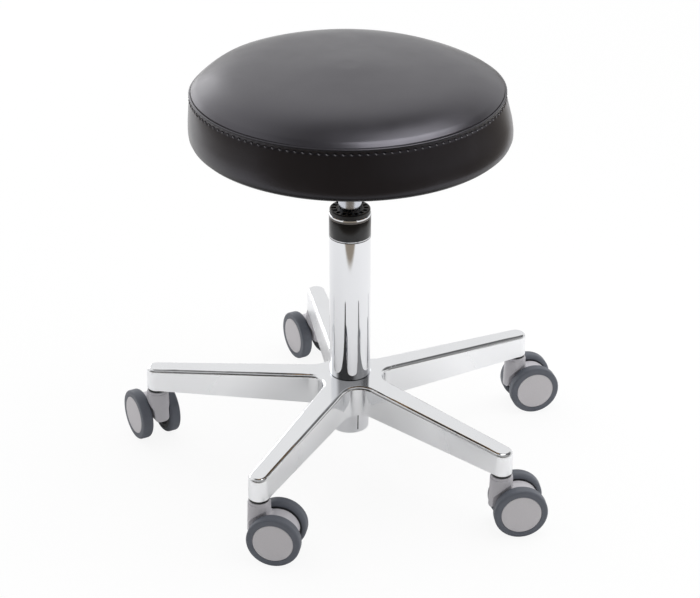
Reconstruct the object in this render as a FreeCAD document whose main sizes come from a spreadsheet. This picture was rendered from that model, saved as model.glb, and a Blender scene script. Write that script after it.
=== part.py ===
import FreeCAD, Part
import os
from types import SimpleNamespace

import Sketcher

# Round work stool on a five-leg star base with twin-wheel casters.
# Origin: the point of the floor below the column. +Z is up, the stool's front is -Y. Millimetres, degrees.

SIZES = {
    # star base casting; leg heights are measured up from the floor
    "stem_circle_radius": 244.5,
    "star_turn": 28.71,
    "leg_tip_width": 25,
    "leg_root_width": 34.5,
    "leg_underside_height": 78,
    "leg_tip_depth": 28.5,
    "leg_root_depth": 41,
    "leg_draft_angle": 1.2,
    "leg_wall": 4,
    "leg_rib_thickness": 3,
    "leg_rib_recess": 4,
    "valley_fillet": 21,
    "leg_edge_fillet": 4,
    "hub_wall": 13,
    "hub_recess_width": 0.9,
    "hub_recess_depth": 3,
    "tip_boss_drop": 1.2,
    "tip_boss_shoulder": 1.2,
    # column and gas lift
    "column_diameter": 50,
    "column_wall": 2,
    "column_foot_height": 42,
    "column_floor_thickness": 4,
    "column_rim_chamfer": 0.6,
    "taper_angle": 1.435,
    "taper_clearance": 0.05,
    "slide_clearance": 0.05,
    "slot_width": 1.3,
    "slot_turn": -65,
    "bush_flange_height": 6,
    "bush_flange_inset": 0.6,
    "bush_length": 75,
    "bush_pocket_depth": 5,
    "bush_pocket_width": 4.2,
    "bush_pocket_wall": 2.4,
    "bush_edge_fillet": 1.5,
    "cylinder_diameter": 28,
    "cylinder_wall": 2,
    "cylinder_foot_height": 130,
    "cylinder_showing": 32.5,
    "cylinder_head_thickness": 17,
    "cylinder_lip": 1.5,
    "gland_length": 14.5,
    "rod_diameter": 10,
    "rod_neck_diameter": 8,
    "rod_end_drop": 4,
    "rod_thread_diameter": 7,
    "piston_length": 12,
    "race_thickness": 1.5,
    "race_diameter": 22,
    "ball_diameter": 3.2,
    "ball_clearance": 0.02,
    "bumper_length": 14,
    "bumper_diameter": 18,
    "clip_thickness": 1.2,
    "clip_diameter": 16,
    "clip_groove_depth": 0.8,
    "clip_end_clearance": 0.4,
    "seat_travel_up": 130,
    "travel_spare": 2,
    # casters; each is drawn round its own stem axis and trails along +X
    "wheel_diameter": 64,
    "wheel_width": 14.8,
    "wheel_inner_offset": 11,
    "caster_trail": 20.6,
    "swivel_right": 13.4,
    "swivel_back": 118,
    "swivel_left": 118.8,
    "swivel_front_left": -10.5,
    "swivel_front_right": 6.2,
    "stem_diameter": 11,
    "stem_engagement": 22,
    "stem_end_clearance": 2,
    "collar_diameter": 23,
    "collar_thickness": 2.4,
    "swivel_clearance": 0.4,
    "hood_half_width": 9.6,
    "hood_wall": 2.2,
    "hood_neck_diameter": 27,
    "hood_foot_diameter": 29.5,
    "hood_floor_height": 33,
    "hood_lip_height": 3.2,
    "hood_lip_inset": 0.7,
    "hood_edge_fillet": 1,
    "shield_corner_fillet": 4.5,
    "shield_edge_fillet": 0.7,
    "shield_recess_depth": 11,
    "fender_radius": 25.4,
    "fender_fillet": 3,
    "arch_clearance": 2,
    "axle_diameter": 8,
    "axle_boss_diameter": 15,
    "stem_boss_diameter": 17,
    "axle_end_recess": 0.4,
    "wheel_hub_diameter": 17,
    "wheel_web_thickness": 3,
    "wheel_web_inset": 5,
    "rim_diameter": 53.8,
    "rim_thickness": 5,
    "rim_inset": 0.8,
    "rim_width": 10.8,
    "tyre_bond": 0.05,
    "tyre_inner_round": 4.6,
    "tyre_outer_round": 2.8,
    "cap_diameter": 48,
    "cap_thickness": 2,
    "cap_proud": 0.2,
    "cap_fit": 0.1,
    "cap_skirt_height": 3.4,
    "cap_edge_chamfer": 0.7,
    # seat support and release
    "seat_underside_height": 433,
    "plate_diameter": 190,
    "plate_thickness": 2.5,
    "plate_lip_height": 4.5,
    "hat_diameter": 90,
    "hat_depth": 32,
    "hat_fillet": 4,
    "socket_diameter": 39,
    "socket_length": 28,
    "window_width": 14,
    "window_height": 15.5,
    "window_foot": 2,
    "release_pin_diameter": 8,
    "release_pin_proud": 7,
    "release_pin_tail": 1.5,
    "release_pin_dome": 3.2,
    "release_gap": 0.3,
    "release_disc_diameter": 72,
    "release_disc_thickness": 3,
    "release_rim_gap": 0.5,
    "release_ring_radius": 104,
    "release_ring_wire": 9,
    "release_spoke_diameter": 6,
    "release_spoke_lift": 5,
    "bolt_circle_radius": 80,
    "bolt_diameter": 8,
    "bolt_head_width": 13,
    "bolt_head_height": 5.3,
    "bolt_hole_clearance": 0.5,
    "bolt_length": 12,
    # seat
    "seat_diameter": 378,
    "board_thickness": 12,
    "board_inset": 5.7,
    "board_edge_fillet": 6,
    "nut_flange_diameter": 22,
    "nut_flange_thickness": 1.5,
    "nut_barrel_diameter": 10,
    "nut_barrel_length": 9,
    "nut_clearance": 0.1,
    "cover_thickness": 1.3,
    "cover_wrap_width": 30,
    "cover_corner_fillet": 11,
    "seat_bulge_height": 19,
    "seam_height": 62,
    "seam_inset": 6.5,
    "crown_height": 86,
    "shoulder_height": 82.5,
    "shoulder_inset": 64,
    "shoulder_fillet": 150,
    "foam_clearance": 0.1,
}

LEG_NAMES = ("right", "back", "left", "front_left", "front_right")
LEG_PITCH = 360 / len(LEG_NAMES)
RIB_COUNT = 2
SPOKE_COUNT = 3
BOLT_COUNT = 4
BOLT_TURN = 45
BALL_COUNT = 12
BUSH_POCKET_COUNT = 16
WRENCH_SIDES = 6
CUT_MARGIN = 1

doc = FreeCAD.newDocument("work_stool")
sheet = doc.addObject("Spreadsheet::Sheet", "Sizes")
for row, (alias, size) in enumerate(SIZES.items(), 1):
    sheet.set(f"A{row}", alias)
    sheet.set(f"B{row}", str(size))
    sheet.setAlias(f"B{row}", alias)
doc.recompute()

# each attribute is the expression that reads the cell of that name
s = SimpleNamespace(**{alias: f"Sizes.{alias}" for alias in SIZES})
sub_parts = []


def value(expression):
    """Number that an expression of sheet cells stands for."""
    result = sheet.evalExpression(expression)
    return float(getattr(result, "Value", result))


def new_body(label, written=True):
    """Body of one sub-part; one that is not written is a pattern for placed copies."""
    body = doc.addObject("PartDesign::Body", label)
    body.Label = label
    body.AllowCompound = True
    if written:
        sub_parts.append(body)
    return body


def origin_feature(body, role):
    return next(feature for feature in body.Origin.OriginFeatures if feature.Role == role)


def new_sketch(body, role, **shift):
    """Sketch on an origin plane of the body, shifted along the sketch's own x, y and z."""
    sketch = body.newObject("Sketcher::SketchObject", f"{body.Name}_sketch")
    sketch.AttachmentSupport = (origin_feature(body, role), [""])
    sketch.MapMode = "FlatFace"
    for axis, expression in shift.items():
        sketch.setExpression(f"AttachmentOffset.Base.{axis}", expression)
    return sketch


def bind(sketch, kind, places, expression):
    """Add a dimension to a sketch and tie it to the sheet."""
    index = sketch.addConstraint(Sketcher.Constraint(kind, *places, value(expression)))
    sketch.setExpression(f"Constraints[{index}]", expression)


def place_point(sketch, geometry, point, x, y):
    bind(sketch, "DistanceX", (-1, 1, geometry, point), x)
    bind(sketch, "DistanceY", (-1, 1, geometry, point), y)


def draw_outline(sketch, corners):
    """Closed outline of straight lines; each corner is a pair of expressions."""
    spots = [FreeCAD.Vector(value(x), value(y), 0) for x, y in corners]
    lines = []
    for start, end in zip(spots, spots[1:] + spots[:1]):
        lines.append(sketch.addGeometry(Part.LineSegment(start, end), False))
    for line, following in zip(lines, lines[1:] + lines[:1]):
        sketch.addConstraint(Sketcher.Constraint("Coincident", line, 2, following, 1))
    for line, (x, y) in zip(lines, corners):
        place_point(sketch, line, 1, x, y)


def draw_circle(sketch, x, y, diameter):
    centre = FreeCAD.Vector(value(x), value(y), 0)
    circle = Part.Circle(centre, FreeCAD.Vector(0, 0, 1), value(diameter) / 2)
    index = sketch.addGeometry(circle, False)
    place_point(sketch, index, 3, x, y)
    bind(sketch, "Diameter", (index,), diameter)


def add_feature(body, kind, sketch, **settings):
    """Sketch-based feature of a body; text settings are sheet expressions, except named choices."""
    feature = body.newObject(f"PartDesign::{kind}", f"{body.Name}_{kind.lower()}")
    feature.Profile = sketch
    for name, setting in settings.items():
        if isinstance(setting, str) and name not in ("SideType", "Type"):
            feature.setExpression(name, setting)
        else:
            setattr(feature, name, setting)
    doc.recompute()
    return feature


def pad(body, sketch, length, **settings):
    return add_feature(body, "Pad", sketch, Length=length, **settings)


def cut(body, kind, sketch, **settings):
    """Feature that removes material, with a test that it did."""
    before = body.Shape.Volume
    feature = add_feature(body, kind, sketch, **settings)
    if body.Shape.Volume > before - 1e-6:
        raise RuntimeError(f"{feature.Name} cuts nothing")
    return feature


def pocket(body, sketch, length, **settings):
    return cut(body, "Pocket", sketch, Length=length, **settings)


def revolve(body, sketch):
    return add_feature(body, "Revolution", sketch, ReferenceAxis=(sketch, ["V_Axis"]), Angle=360)


def groove(body, sketch):
    return cut(body, "Groove", sketch, ReferenceAxis=(sketch, ["V_Axis"]), Angle=360)


def turned_body(label, corners, written=True):
    """Body of revolution about the column axis; corners are (radius, height) expressions."""
    body = new_body(label, written)
    sketch = new_sketch(body, "XZ_Plane")
    draw_outline(sketch, corners)
    revolve(body, sketch)
    return body


def polar_pattern(body, originals, count):
    """Repeat features round the body's own Z axis, or the whole shape so far where none are named."""
    pattern = body.newObject("PartDesign::PolarPattern", f"{body.Name}_pattern")
    if originals:
        pattern.Originals = originals
    else:
        pattern.TransformMode = "Whole shape"
    pattern.Axis = (origin_feature(body, "Z_Axis"), [""])
    pattern.Angle = 360
    pattern.Occurrences = count
    body.Tip = pattern
    doc.recompute()
    return pattern


def dress_edges(body, kind, size, chosen):
    """Fillet or Chamfer on the edges that a test picks out."""
    base = body.Tip
    names = [f"Edge{i}" for i, edge in enumerate(base.Shape.Edges, 1) if chosen(edge)]
    if not names:
        raise RuntimeError(f"{body.Label} has no edge for its {kind.lower()}")
    feature = body.newObject(f"PartDesign::{kind}", f"{body.Name}_{kind.lower()}")
    feature.Base = (base, names)
    feature.setExpression("Radius" if kind == "Fillet" else "Size", size)
    doc.recompute()


def ring_at(radius, height):
    """Test for the circular edge of that radius at that height round the column axis."""
    wanted_radius = value(radius)
    wanted_height = value(height)

    def is_ring(edge):
        curve = edge.Curve
        if not isinstance(curve, Part.Circle):
            return False
        off_axis = abs(curve.Center.x) + abs(curve.Center.y)
        miss = abs(curve.Radius - wanted_radius) + abs(curve.Center.z - wanted_height)
        return off_axis + miss < 1e-4

    return is_ring


def placed_copy(pattern, label, x, y, turn):
    """Copy of a pattern body, turned about Z and set down at (x, y)."""
    body = new_body(label)
    base = body.newObject("PartDesign::FeatureBase", f"{label}_base")
    base.BaseFeature = pattern
    body.Tip = base
    body.Placement.Rotation = FreeCAD.Rotation(FreeCAD.Vector(0, 0, 1), value(turn))
    body.setExpression("Placement.Rotation.Angle", turn)
    body.setExpression("Placement.Base.x", x)
    body.setExpression("Placement.Base.y", y)


def turn_with_star(body):
    body.Placement.Rotation = FreeCAD.Rotation(FreeCAD.Vector(0, 0, 1), value(s.star_turn))
    body.setExpression("Placement.Rotation.Angle", s.star_turn)


# heights and radii that several pieces share
column_radius = f"{s.column_diameter} / 2"
hub_top = f"({s.leg_underside_height} + {s.leg_root_depth})"
tip_radius = f"{s.leg_tip_width} / 2"
star_radius = f"({s.stem_circle_radius} + {tip_radius})"
boss_underside = f"({s.leg_underside_height} - {s.tip_boss_drop})"
neck_top = f"({boss_underside} - {s.collar_thickness} - {s.swivel_clearance})"
wheel_radius = f"{s.wheel_diameter} / 2"
column_floor = f"({s.column_foot_height} + {s.column_floor_thickness})"
column_bore = f"({column_radius} - {s.column_wall})"
foot_radius = f"({column_radius} - ({hub_top} - {s.column_foot_height}) * tan({s.taper_angle}))"
cylinder_radius = f"{s.cylinder_diameter} / 2"
cylinder_bore = f"({cylinder_radius} - {s.cylinder_wall})"
rod_radius = f"{s.rod_diameter} / 2"
rod_neck_radius = f"{s.rod_neck_diameter} / 2"
bearing_gap = f"({s.ball_diameter} + 2 * {s.ball_clearance})"
bearing_top = f"({column_floor} + 2 * {s.race_thickness} + {bearing_gap})"
gland_top = f"({s.cylinder_foot_height} + {s.cylinder_lip} + {s.gland_length})"
piston_foot = f"({gland_top} + {s.seat_travel_up} + {s.travel_spare})"
hat_underside = f"({s.seat_underside_height} - {s.hat_depth})"
hat_floor = f"({hat_underside} + {s.plate_thickness})"
socket_foot = f"({hat_underside} - {s.socket_length})"
column_top = f"({socket_foot} - {s.cylinder_showing} - {s.bush_flange_height})"
cylinder_top = f"({hat_floor} - {s.cylinder_lip})"
head_radius = f"({cylinder_radius} - ({cylinder_top} - {socket_foot}) * tan({s.taper_angle}))"
pin_radius = f"{s.release_pin_diameter} / 2"
pin_top = f"({cylinder_top} + {s.release_pin_proud})"
disc_underside = f"({pin_top} + {s.release_gap})"
seat_radius = f"{s.seat_diameter} / 2"
board_radius = f"({seat_radius} - {s.cover_thickness} - {s.board_inset})"
board_top = f"({s.seat_underside_height} + {s.board_thickness})"
plate_underside = f"({s.seat_underside_height} - {s.plate_thickness})"


def leg_half_width(x):
    """Half of a leg's width where its centre line is x from the column axis."""
    slope = f"({s.leg_tip_width} - {s.leg_root_width}) / {s.stem_circle_radius}"
    return f"(({s.leg_root_width} + {slope} * ({x})) / 2)"


def leg_top(x):
    """Height of the sloping top face x from the column axis."""
    fall = f"({s.leg_root_depth} - {s.leg_tip_depth}) / {star_radius}"
    return f"({hub_top} - {fall} * ({x}))"


def draw_leg_plan(sketch):
    """Leg outline along +X: straight tapering sides that run tangent into a round tip."""
    reach = value(s.stem_circle_radius)
    tip = value(tip_radius)
    root = value(s.leg_root_width) / 2
    root_right = FreeCAD.Vector(-root, -root, 0)
    root_left = FreeCAD.Vector(-root, root, 0)
    tip_right = FreeCAD.Vector(reach, -tip, 0)
    tip_end = FreeCAD.Vector(reach + tip, 0, 0)
    tip_left = FreeCAD.Vector(reach, tip, 0)
    right = sketch.addGeometry(Part.LineSegment(root_right, tip_right), False)
    arc = sketch.addGeometry(Part.Arc(tip_right, tip_end, tip_left), False)
    left = sketch.addGeometry(Part.LineSegment(tip_left, root_left), False)
    root_line = sketch.addGeometry(Part.LineSegment(root_left, root_right), False)
    sketch.addConstraint([
        Sketcher.Constraint("Tangent", right, 2, arc, 1),
        Sketcher.Constraint("Tangent", arc, 2, left, 1),
        Sketcher.Constraint("Coincident", left, 2, root_line, 1),
        Sketcher.Constraint("Coincident", root_line, 2, right, 1),
        Sketcher.Constraint("PointOnObject", arc, 3, -1),
        Sketcher.Constraint("Symmetric", root_line, 1, root_line, 2, -1),
    ])
    bind(sketch, "DistanceX", (-1, 1, arc, 3), s.stem_circle_radius)
    bind(sketch, "DistanceX", (root_line, 1, -1, 1), f"{s.leg_root_width} / 2")
    bind(sketch, "Radius", (arc,), tip_radius)
    bind(sketch, "DistanceY", (root_line, 2, root_line, 1), s.leg_root_width)


def draft_leg(body):
    """Slope the upright walls of a leg, which is widest at its lower edge."""
    base = body.Tip
    walls = []
    for number, face in enumerate(base.Shape.Faces, 1):
        if face.BoundBox.ZLength < 1e-3:
            if face.CenterOfMass.z < value(s.leg_underside_height) + 1e-3:
                underside = f"Face{number}"
        else:
            walls.append(f"Face{number}")
    draft = body.newObject("PartDesign::Draft", f"{body.Name}_draft")
    draft.Base = (base, walls)
    draft.NeutralPlane = (base, [underside])
    draft.setExpression("Angle", s.leg_draft_angle)
    doc.recompute()


def channel_section(body, x):
    """Cross-section of the open channel under a leg, x from the column axis."""
    half = f"({leg_half_width(x)} - {s.leg_wall})"
    foot = f"{s.leg_underside_height} - {CUT_MARGIN}"
    ceiling = f"{leg_top(x)} - {s.leg_wall}"
    narrow = f"({half} - {s.leg_wall} / 2)"
    sketch = new_sketch(body, "YZ_Plane", z=x)
    draw_outline(sketch, [
        (f"-{half}", foot),
        (half, foot),
        (narrow, ceiling),
        (f"-{narrow}", ceiling),
    ])
    return sketch


def add_leg_ribs(body, places):
    """Cross ribs that tie the channel's two walls together."""
    rib_foot = f"({s.leg_underside_height} + {s.leg_rib_recess})"
    for x in places:
        near = f"({x} - {s.leg_rib_thickness} / 2)"
        far = f"({x} + {s.leg_rib_thickness} / 2)"
        half = f"({leg_half_width(x)} - {s.leg_wall} / 2)"
        sketch = new_sketch(body, "XY_Plane", z=rib_foot)
        draw_outline(sketch, [(near, f"-{half}"), (far, f"-{half}"), (far, half), (near, half)])
        pad(body, sketch, f"{leg_top(x)} - {rib_foot} - {s.leg_wall} / 2")


def build_star_base():
    body = new_body("star_base")
    plan = new_sketch(body, "XY_Plane", z=s.leg_underside_height)
    draw_leg_plan(plan)
    pad(body, plan, f"{s.leg_root_depth} + {CUT_MARGIN}")
    draft_leg(body)

    channel_start = f"({column_radius} + {s.hub_wall})"
    channel_end = f"({s.stem_circle_radius} - {tip_radius})"
    channel = body.newObject("PartDesign::SubtractiveLoft", "star_base_channel")
    channel.Profile = channel_section(body, channel_start)
    channel.Sections = [channel_section(body, channel_end)]
    channel.Ruled = True
    doc.recompute()
    bay = f"({channel_end} - {channel_start}) / {RIB_COUNT + 1}"
    add_leg_ribs(body, [f"({channel_start} + {i + 1} * {bay})" for i in range(RIB_COUNT)])

    boss_plan = new_sketch(body, "XY_Plane", z=boss_underside)
    draw_circle(boss_plan, s.stem_circle_radius, "0", f"{s.leg_tip_width} - 2 * {s.tip_boss_shoulder}")
    pad(body, boss_plan, f"{s.tip_boss_drop} + {s.leg_wall}")
    socket_plan = new_sketch(body, "XY_Plane", z=boss_underside)
    draw_circle(socket_plan, s.stem_circle_radius, "0", f"{s.stem_diameter} + 2 * {s.slide_clearance}")
    pocket(body, socket_plan, f"{s.stem_engagement} + {s.stem_end_clearance}", Reversed=True)
    polar_pattern(body, [], len(LEG_NAMES))

    valley_radius = value(f"{s.leg_root_width} / 2 / sin({LEG_PITCH / 2})")
    shortest = value(s.leg_tip_depth)

    def is_valley(edge):
        middle = edge.CenterOfMass
        return edge.BoundBox.ZLength > shortest and (middle.x ** 2 + middle.y ** 2) ** 0.5 < valley_radius

    dress_edges(body, "Fillet", s.valley_fillet, is_valley)

    outside = f"({star_radius} + {s.leg_tip_width})"
    above = f"{hub_top} + {s.leg_root_depth}"
    crown = new_sketch(body, "XZ_Plane")
    draw_outline(crown, [("0", leg_top("0")), (outside, leg_top(outside)), (outside, above), ("0", above)])
    groove(body, crown)

    hub_height = value(hub_top)
    fall = (hub_height - value(leg_top(outside))) / value(outside)

    def on_top_face(edge):
        if edge.Length < 1e-3:
            return False
        points = edge.discretize(5)
        return all(abs(hub_height - fall * (p.x ** 2 + p.y ** 2) ** 0.5 - p.z) < 0.01 for p in points)

    dress_edges(body, "Fillet", s.leg_edge_fillet, on_top_face)

    bore = new_sketch(body, "XZ_Plane")
    bore_foot = f"{s.leg_underside_height} - {CUT_MARGIN}"
    bore_low = f"({column_radius} - ({hub_top} - ({bore_foot})) * tan({s.taper_angle}) + {s.taper_clearance})"
    bore_high = f"({column_radius} + {s.taper_clearance})"
    draw_outline(bore, [("0", bore_foot), (bore_low, bore_foot), (bore_high, hub_top), ("0", hub_top)])
    groove(body, bore)
    recess = new_sketch(body, "XZ_Plane")
    recess_foot = f"({hub_top} - {s.hub_recess_depth})"
    recess_radius = f"({bore_high} + {s.hub_recess_width})"
    draw_outline(recess, [("0", recess_foot), (recess_radius, recess_foot), (recess_radius, hub_top), ("0", hub_top)])
    groove(body, recess)
    turn_with_star(body)


def build_caster_stems():
    """Stems pressed into the leg tips, each with the collar that the caster turns under."""
    body = new_body("caster_stems")
    sketch = new_sketch(body, "XZ_Plane", x=s.stem_circle_radius)
    stem_radius = f"{s.stem_diameter} / 2"
    collar_radius = f"{s.collar_diameter} / 2"
    stem_foot = f"{neck_top} - {s.stem_engagement}"
    collar_foot = f"{boss_underside} - {s.collar_thickness}"
    stem_head = f"{boss_underside} + {s.stem_engagement}"
    draw_outline(sketch, [
        ("0", stem_foot),
        (stem_radius, stem_foot),
        (stem_radius, collar_foot),
        (collar_radius, collar_foot),
        (collar_radius, boss_underside),
        (stem_radius, boss_underside),
        (stem_radius, stem_head),
        ("0", stem_head),
    ])
    stem = revolve(body, sketch)
    polar_pattern(body, [stem], len(LEG_NAMES))
    turn_with_star(body)


def build_column_tube():
    """Outer tube: straight above the hub, tapered through it, with a floor for the bearing."""
    rod_hole = f"({rod_neck_radius} + {s.swivel_clearance})"
    inner_foot = f"({foot_radius} - {s.column_wall})"
    body = turned_body("column_tube", [
        (rod_hole, s.column_foot_height),
        (foot_radius, s.column_foot_height),
        (column_radius, hub_top),
        (column_radius, column_top),
        (column_bore, column_top),
        (column_bore, hub_top),
        (inner_foot, column_floor),
        (rod_hole, column_floor),
    ])
    dress_edges(body, "Chamfer", s.column_rim_chamfer, ring_at(column_radius, column_top))

    slot = new_sketch(body, "XY_Plane", z=column_floor)
    half = f"{s.slot_width} / 2"
    ahead = (f"cos({s.slot_turn})", f"sin({s.slot_turn})")
    draw_outline(slot, [
        (f"{reach} * {ahead[0]} - ({across}) * {ahead[1]}", f"{reach} * {ahead[1]} + ({across}) * {ahead[0]}")
        for reach, across in (
            (rod_hole, f"-{half}"), (column_radius, f"-{half}"), (column_radius, half), (rod_hole, half))
    ])
    pocket(body, slot, f"{s.leg_underside_height} - {column_floor}", Reversed=True)


def build_guide_bush():
    """Plastic bush that guides the gas cylinder, with a ring of moulded pockets on its flange."""
    bore = f"({cylinder_radius} + {s.slide_clearance})"
    flange = f"({column_radius} - {s.bush_flange_inset})"
    flange_top = f"{column_top} + {s.bush_flange_height}"
    sleeve = f"({column_bore} - {s.slide_clearance})"
    sleeve_foot = f"{column_top} - {s.bush_length}"
    body = turned_body("guide_bush", [
        (bore, sleeve_foot),
        (sleeve, sleeve_foot),
        (sleeve, column_top),
        (flange, column_top),
        (flange, flange_top),
        (bore, flange_top),
    ])
    dress_edges(body, "Fillet", s.bush_edge_fillet, ring_at(flange, flange_top))
    sketch = new_sketch(body, "XY_Plane", z=flange_top)
    near = f"({bore} + {s.bush_pocket_wall})"
    far = f"({flange} - {s.bush_pocket_wall})"
    half = f"{s.bush_pocket_width} / 2"
    draw_outline(sketch, [(near, f"-{half}"), (far, f"-{half}"), (far, half), (near, half)])
    hollow = pocket(body, sketch, s.bush_pocket_depth)
    polar_pattern(body, [hollow], BUSH_POCKET_COUNT)


def build_thrust_bearing():
    """Two races with a ring of balls between them, on the floor of the column."""
    race_bore = f"({rod_neck_radius} + {s.slide_clearance})"
    race_radius = f"{s.race_diameter} / 2"
    lower_top = f"({column_floor} + {s.race_thickness})"
    upper_foot = f"({bearing_top} - {s.race_thickness})"
    body = new_body("thrust_bearing")
    for foot, head in ((column_floor, lower_top), (upper_foot, bearing_top)):
        sketch = new_sketch(body, "XZ_Plane")
        draw_outline(sketch, [(race_bore, foot), (race_radius, foot), (race_radius, head), (race_bore, head)])
        revolve(body, sketch)
    ball = body.newObject("PartDesign::AdditiveSphere", "thrust_bearing_ball")
    ball.AttachmentSupport = (origin_feature(body, "XY_Plane"), [""])
    ball.MapMode = "FlatFace"
    ball.setExpression("Radius", f"{s.ball_diameter} / 2")
    ball.setExpression("AttachmentOffset.Base.x", f"({race_bore} + {race_radius}) / 2")
    ball.setExpression("AttachmentOffset.Base.z", f"{lower_top} + {bearing_gap} / 2")
    doc.recompute()
    polar_pattern(body, [ball], BALL_COUNT)


def build_piston_rod():
    """Rod that stands on the bearing, with a clip groove below and a thread for the piston above."""
    end = f"({s.column_foot_height} - {s.rod_end_drop})"
    groove_top = f"({s.column_foot_height} - {s.clip_end_clearance})"
    groove_foot = f"({groove_top} - {s.clip_thickness} - {s.slide_clearance})"
    groove_radius = f"({rod_neck_radius} - {s.clip_groove_depth})"
    thread_radius = f"{s.rod_thread_diameter} / 2"
    rod_top = f"({piston_foot} + {s.piston_length})"
    turned_body("piston_rod", [
        ("0", end),
        (rod_neck_radius, end),
        (rod_neck_radius, groove_foot),
        (groove_radius, groove_foot),
        (groove_radius, groove_top),
        (rod_neck_radius, groove_top),
        (rod_neck_radius, bearing_top),
        (rod_radius, bearing_top),
        (rod_radius, piston_foot),
        (thread_radius, piston_foot),
        (thread_radius, rod_top),
        ("0", rod_top),
    ])


def build_piston():
    bore = f"({s.rod_thread_diameter} / 2 + {s.slide_clearance})"
    radius = f"({cylinder_bore} - {s.slide_clearance})"
    top = f"{piston_foot} + {s.piston_length}"
    turned_body("piston", [(bore, piston_foot), (radius, piston_foot), (radius, top), (bore, top)])


def build_rod_bumper():
    """Rubber ring that the cylinder meets at the bottom of its stroke."""
    bore = f"({rod_radius} + {s.slide_clearance})"
    radius = f"{s.bumper_diameter} / 2"
    foot = f"({bearing_top} + {s.slide_clearance})"
    top = f"{foot} + {s.bumper_length}"
    turned_body("rod_bumper", [(bore, foot), (radius, foot), (radius, top), (bore, top)])


def build_retaining_clip():
    """Open clip in the rod's groove, under the floor of the column."""
    body = new_body("retaining_clip")
    top = f"({s.column_foot_height} - {s.clip_end_clearance})"
    inner = f"({s.rod_neck_diameter} - 2 * {s.clip_groove_depth} + 2 * {s.slide_clearance})"
    sketch = new_sketch(body, "XY_Plane", z=f"{top} - {s.clip_thickness}")
    draw_circle(sketch, "0", "0", s.clip_diameter)
    draw_circle(sketch, "0", "0", inner)
    pad(body, sketch, s.clip_thickness)
    mouth = new_sketch(body, "XY_Plane", z=top)
    half = f"({inner} / 2)"
    draw_outline(mouth, [
        ("0", f"-{half}"),
        (s.clip_diameter, f"-{half}"),
        (s.clip_diameter, half),
        ("0", half),
    ])
    pocket(body, mouth, s.clip_thickness)


def build_gas_cylinder():
    """Pressure tube of the lift: tapered head in the seat socket, rolled lip at the foot."""
    pin_bore = f"({pin_radius} + {s.slide_clearance})"
    head_underside = f"({cylinder_top} - {s.cylinder_head_thickness})"
    lip_radius = f"({cylinder_bore} - {s.cylinder_lip})"
    lip_top = f"({s.cylinder_foot_height} + {s.cylinder_lip})"
    turned_body("gas_cylinder", [
        (lip_radius, s.cylinder_foot_height),
        (cylinder_radius, s.cylinder_foot_height),
        (cylinder_radius, socket_foot),
        (head_radius, cylinder_top),
        (pin_bore, cylinder_top),
        (pin_bore, head_underside),
        (cylinder_bore, head_underside),
        (cylinder_bore, lip_top),
        (lip_radius, lip_top),
    ])


def build_rod_gland():
    """Guide and seal pack at the foot of the gas cylinder."""
    bore = f"({rod_radius} + {s.slide_clearance})"
    radius = f"({cylinder_bore} - {s.slide_clearance})"
    foot = f"({s.cylinder_foot_height} + {s.cylinder_lip})"
    turned_body("rod_gland", [(bore, foot), (radius, foot), (radius, gland_top), (bore, gland_top)])


def build_release_pin():
    """Valve pin in the head of the gas cylinder, domed where the release disc meets it."""
    body = new_body("release_pin")
    foot = f"({cylinder_top} - {s.cylinder_head_thickness} + {s.release_pin_tail})"
    sketch = new_sketch(body, "XY_Plane", z=foot)
    draw_circle(sketch, "0", "0", s.release_pin_diameter)
    pad(body, sketch, f"{pin_top} - {foot}")
    dress_edges(body, "Fillet", s.release_pin_dome, ring_at(pin_radius, pin_top))


def build_seat_plate():
    """Pressed steel hat with a rim lip, its windows for the spokes and the welded taper socket."""
    plate_radius = f"{s.plate_diameter} / 2"
    hat_radius = f"{s.hat_diameter} / 2"
    hat_bore = f"({hat_radius} - {s.plate_thickness})"
    lip_bore = f"({plate_radius} - {s.plate_thickness})"
    lip_foot = f"({plate_underside} - {s.plate_lip_height})"
    bore_foot = f"({cylinder_radius} + {s.taper_clearance})"
    bore_top = f"({bore_foot} - ({hat_floor} - {socket_foot}) * tan({s.taper_angle}))"
    socket_radius = f"{s.socket_diameter} / 2"
    body = turned_body("seat_plate", [
        (plate_radius, s.seat_underside_height),
        (hat_bore, s.seat_underside_height),
        (hat_bore, hat_floor),
        (bore_top, hat_floor),
        (bore_foot, socket_foot),
        (socket_radius, socket_foot),
        (socket_radius, hat_underside),
        (hat_radius, hat_underside),
        (hat_radius, plate_underside),
        (lip_bore, plate_underside),
        (lip_bore, lip_foot),
        (plate_radius, lip_foot),
    ])
    dress_edges(body, "Fillet", s.hat_fillet, ring_at(hat_radius, hat_underside))

    window = new_sketch(body, "YZ_Plane", z=f"{hat_bore} - {CUT_MARGIN}")
    half = f"{s.window_width} / 2"
    foot = f"{hat_floor} + {s.window_foot}"
    head = f"{foot} + {s.window_height}"
    draw_outline(window, [(f"-{half}", foot), (half, foot), (half, head), (f"-{half}", head)])
    opening = pocket(body, window, f"{s.plate_thickness} + 2 * {CUT_MARGIN}", Reversed=True)
    polar_pattern(body, [opening], SPOKE_COUNT)

    holes = new_sketch(body, "XY_Plane", z=plate_underside)
    reach_x = f"{s.bolt_circle_radius} * cos({BOLT_TURN})"
    reach_y = f"{s.bolt_circle_radius} * sin({BOLT_TURN})"
    draw_circle(holes, reach_x, reach_y, f"{s.bolt_diameter} + 2 * {s.bolt_hole_clearance}")
    hole = pocket(body, holes, s.plate_thickness, Reversed=True)
    polar_pattern(body, [hole], BOLT_COUNT)


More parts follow.
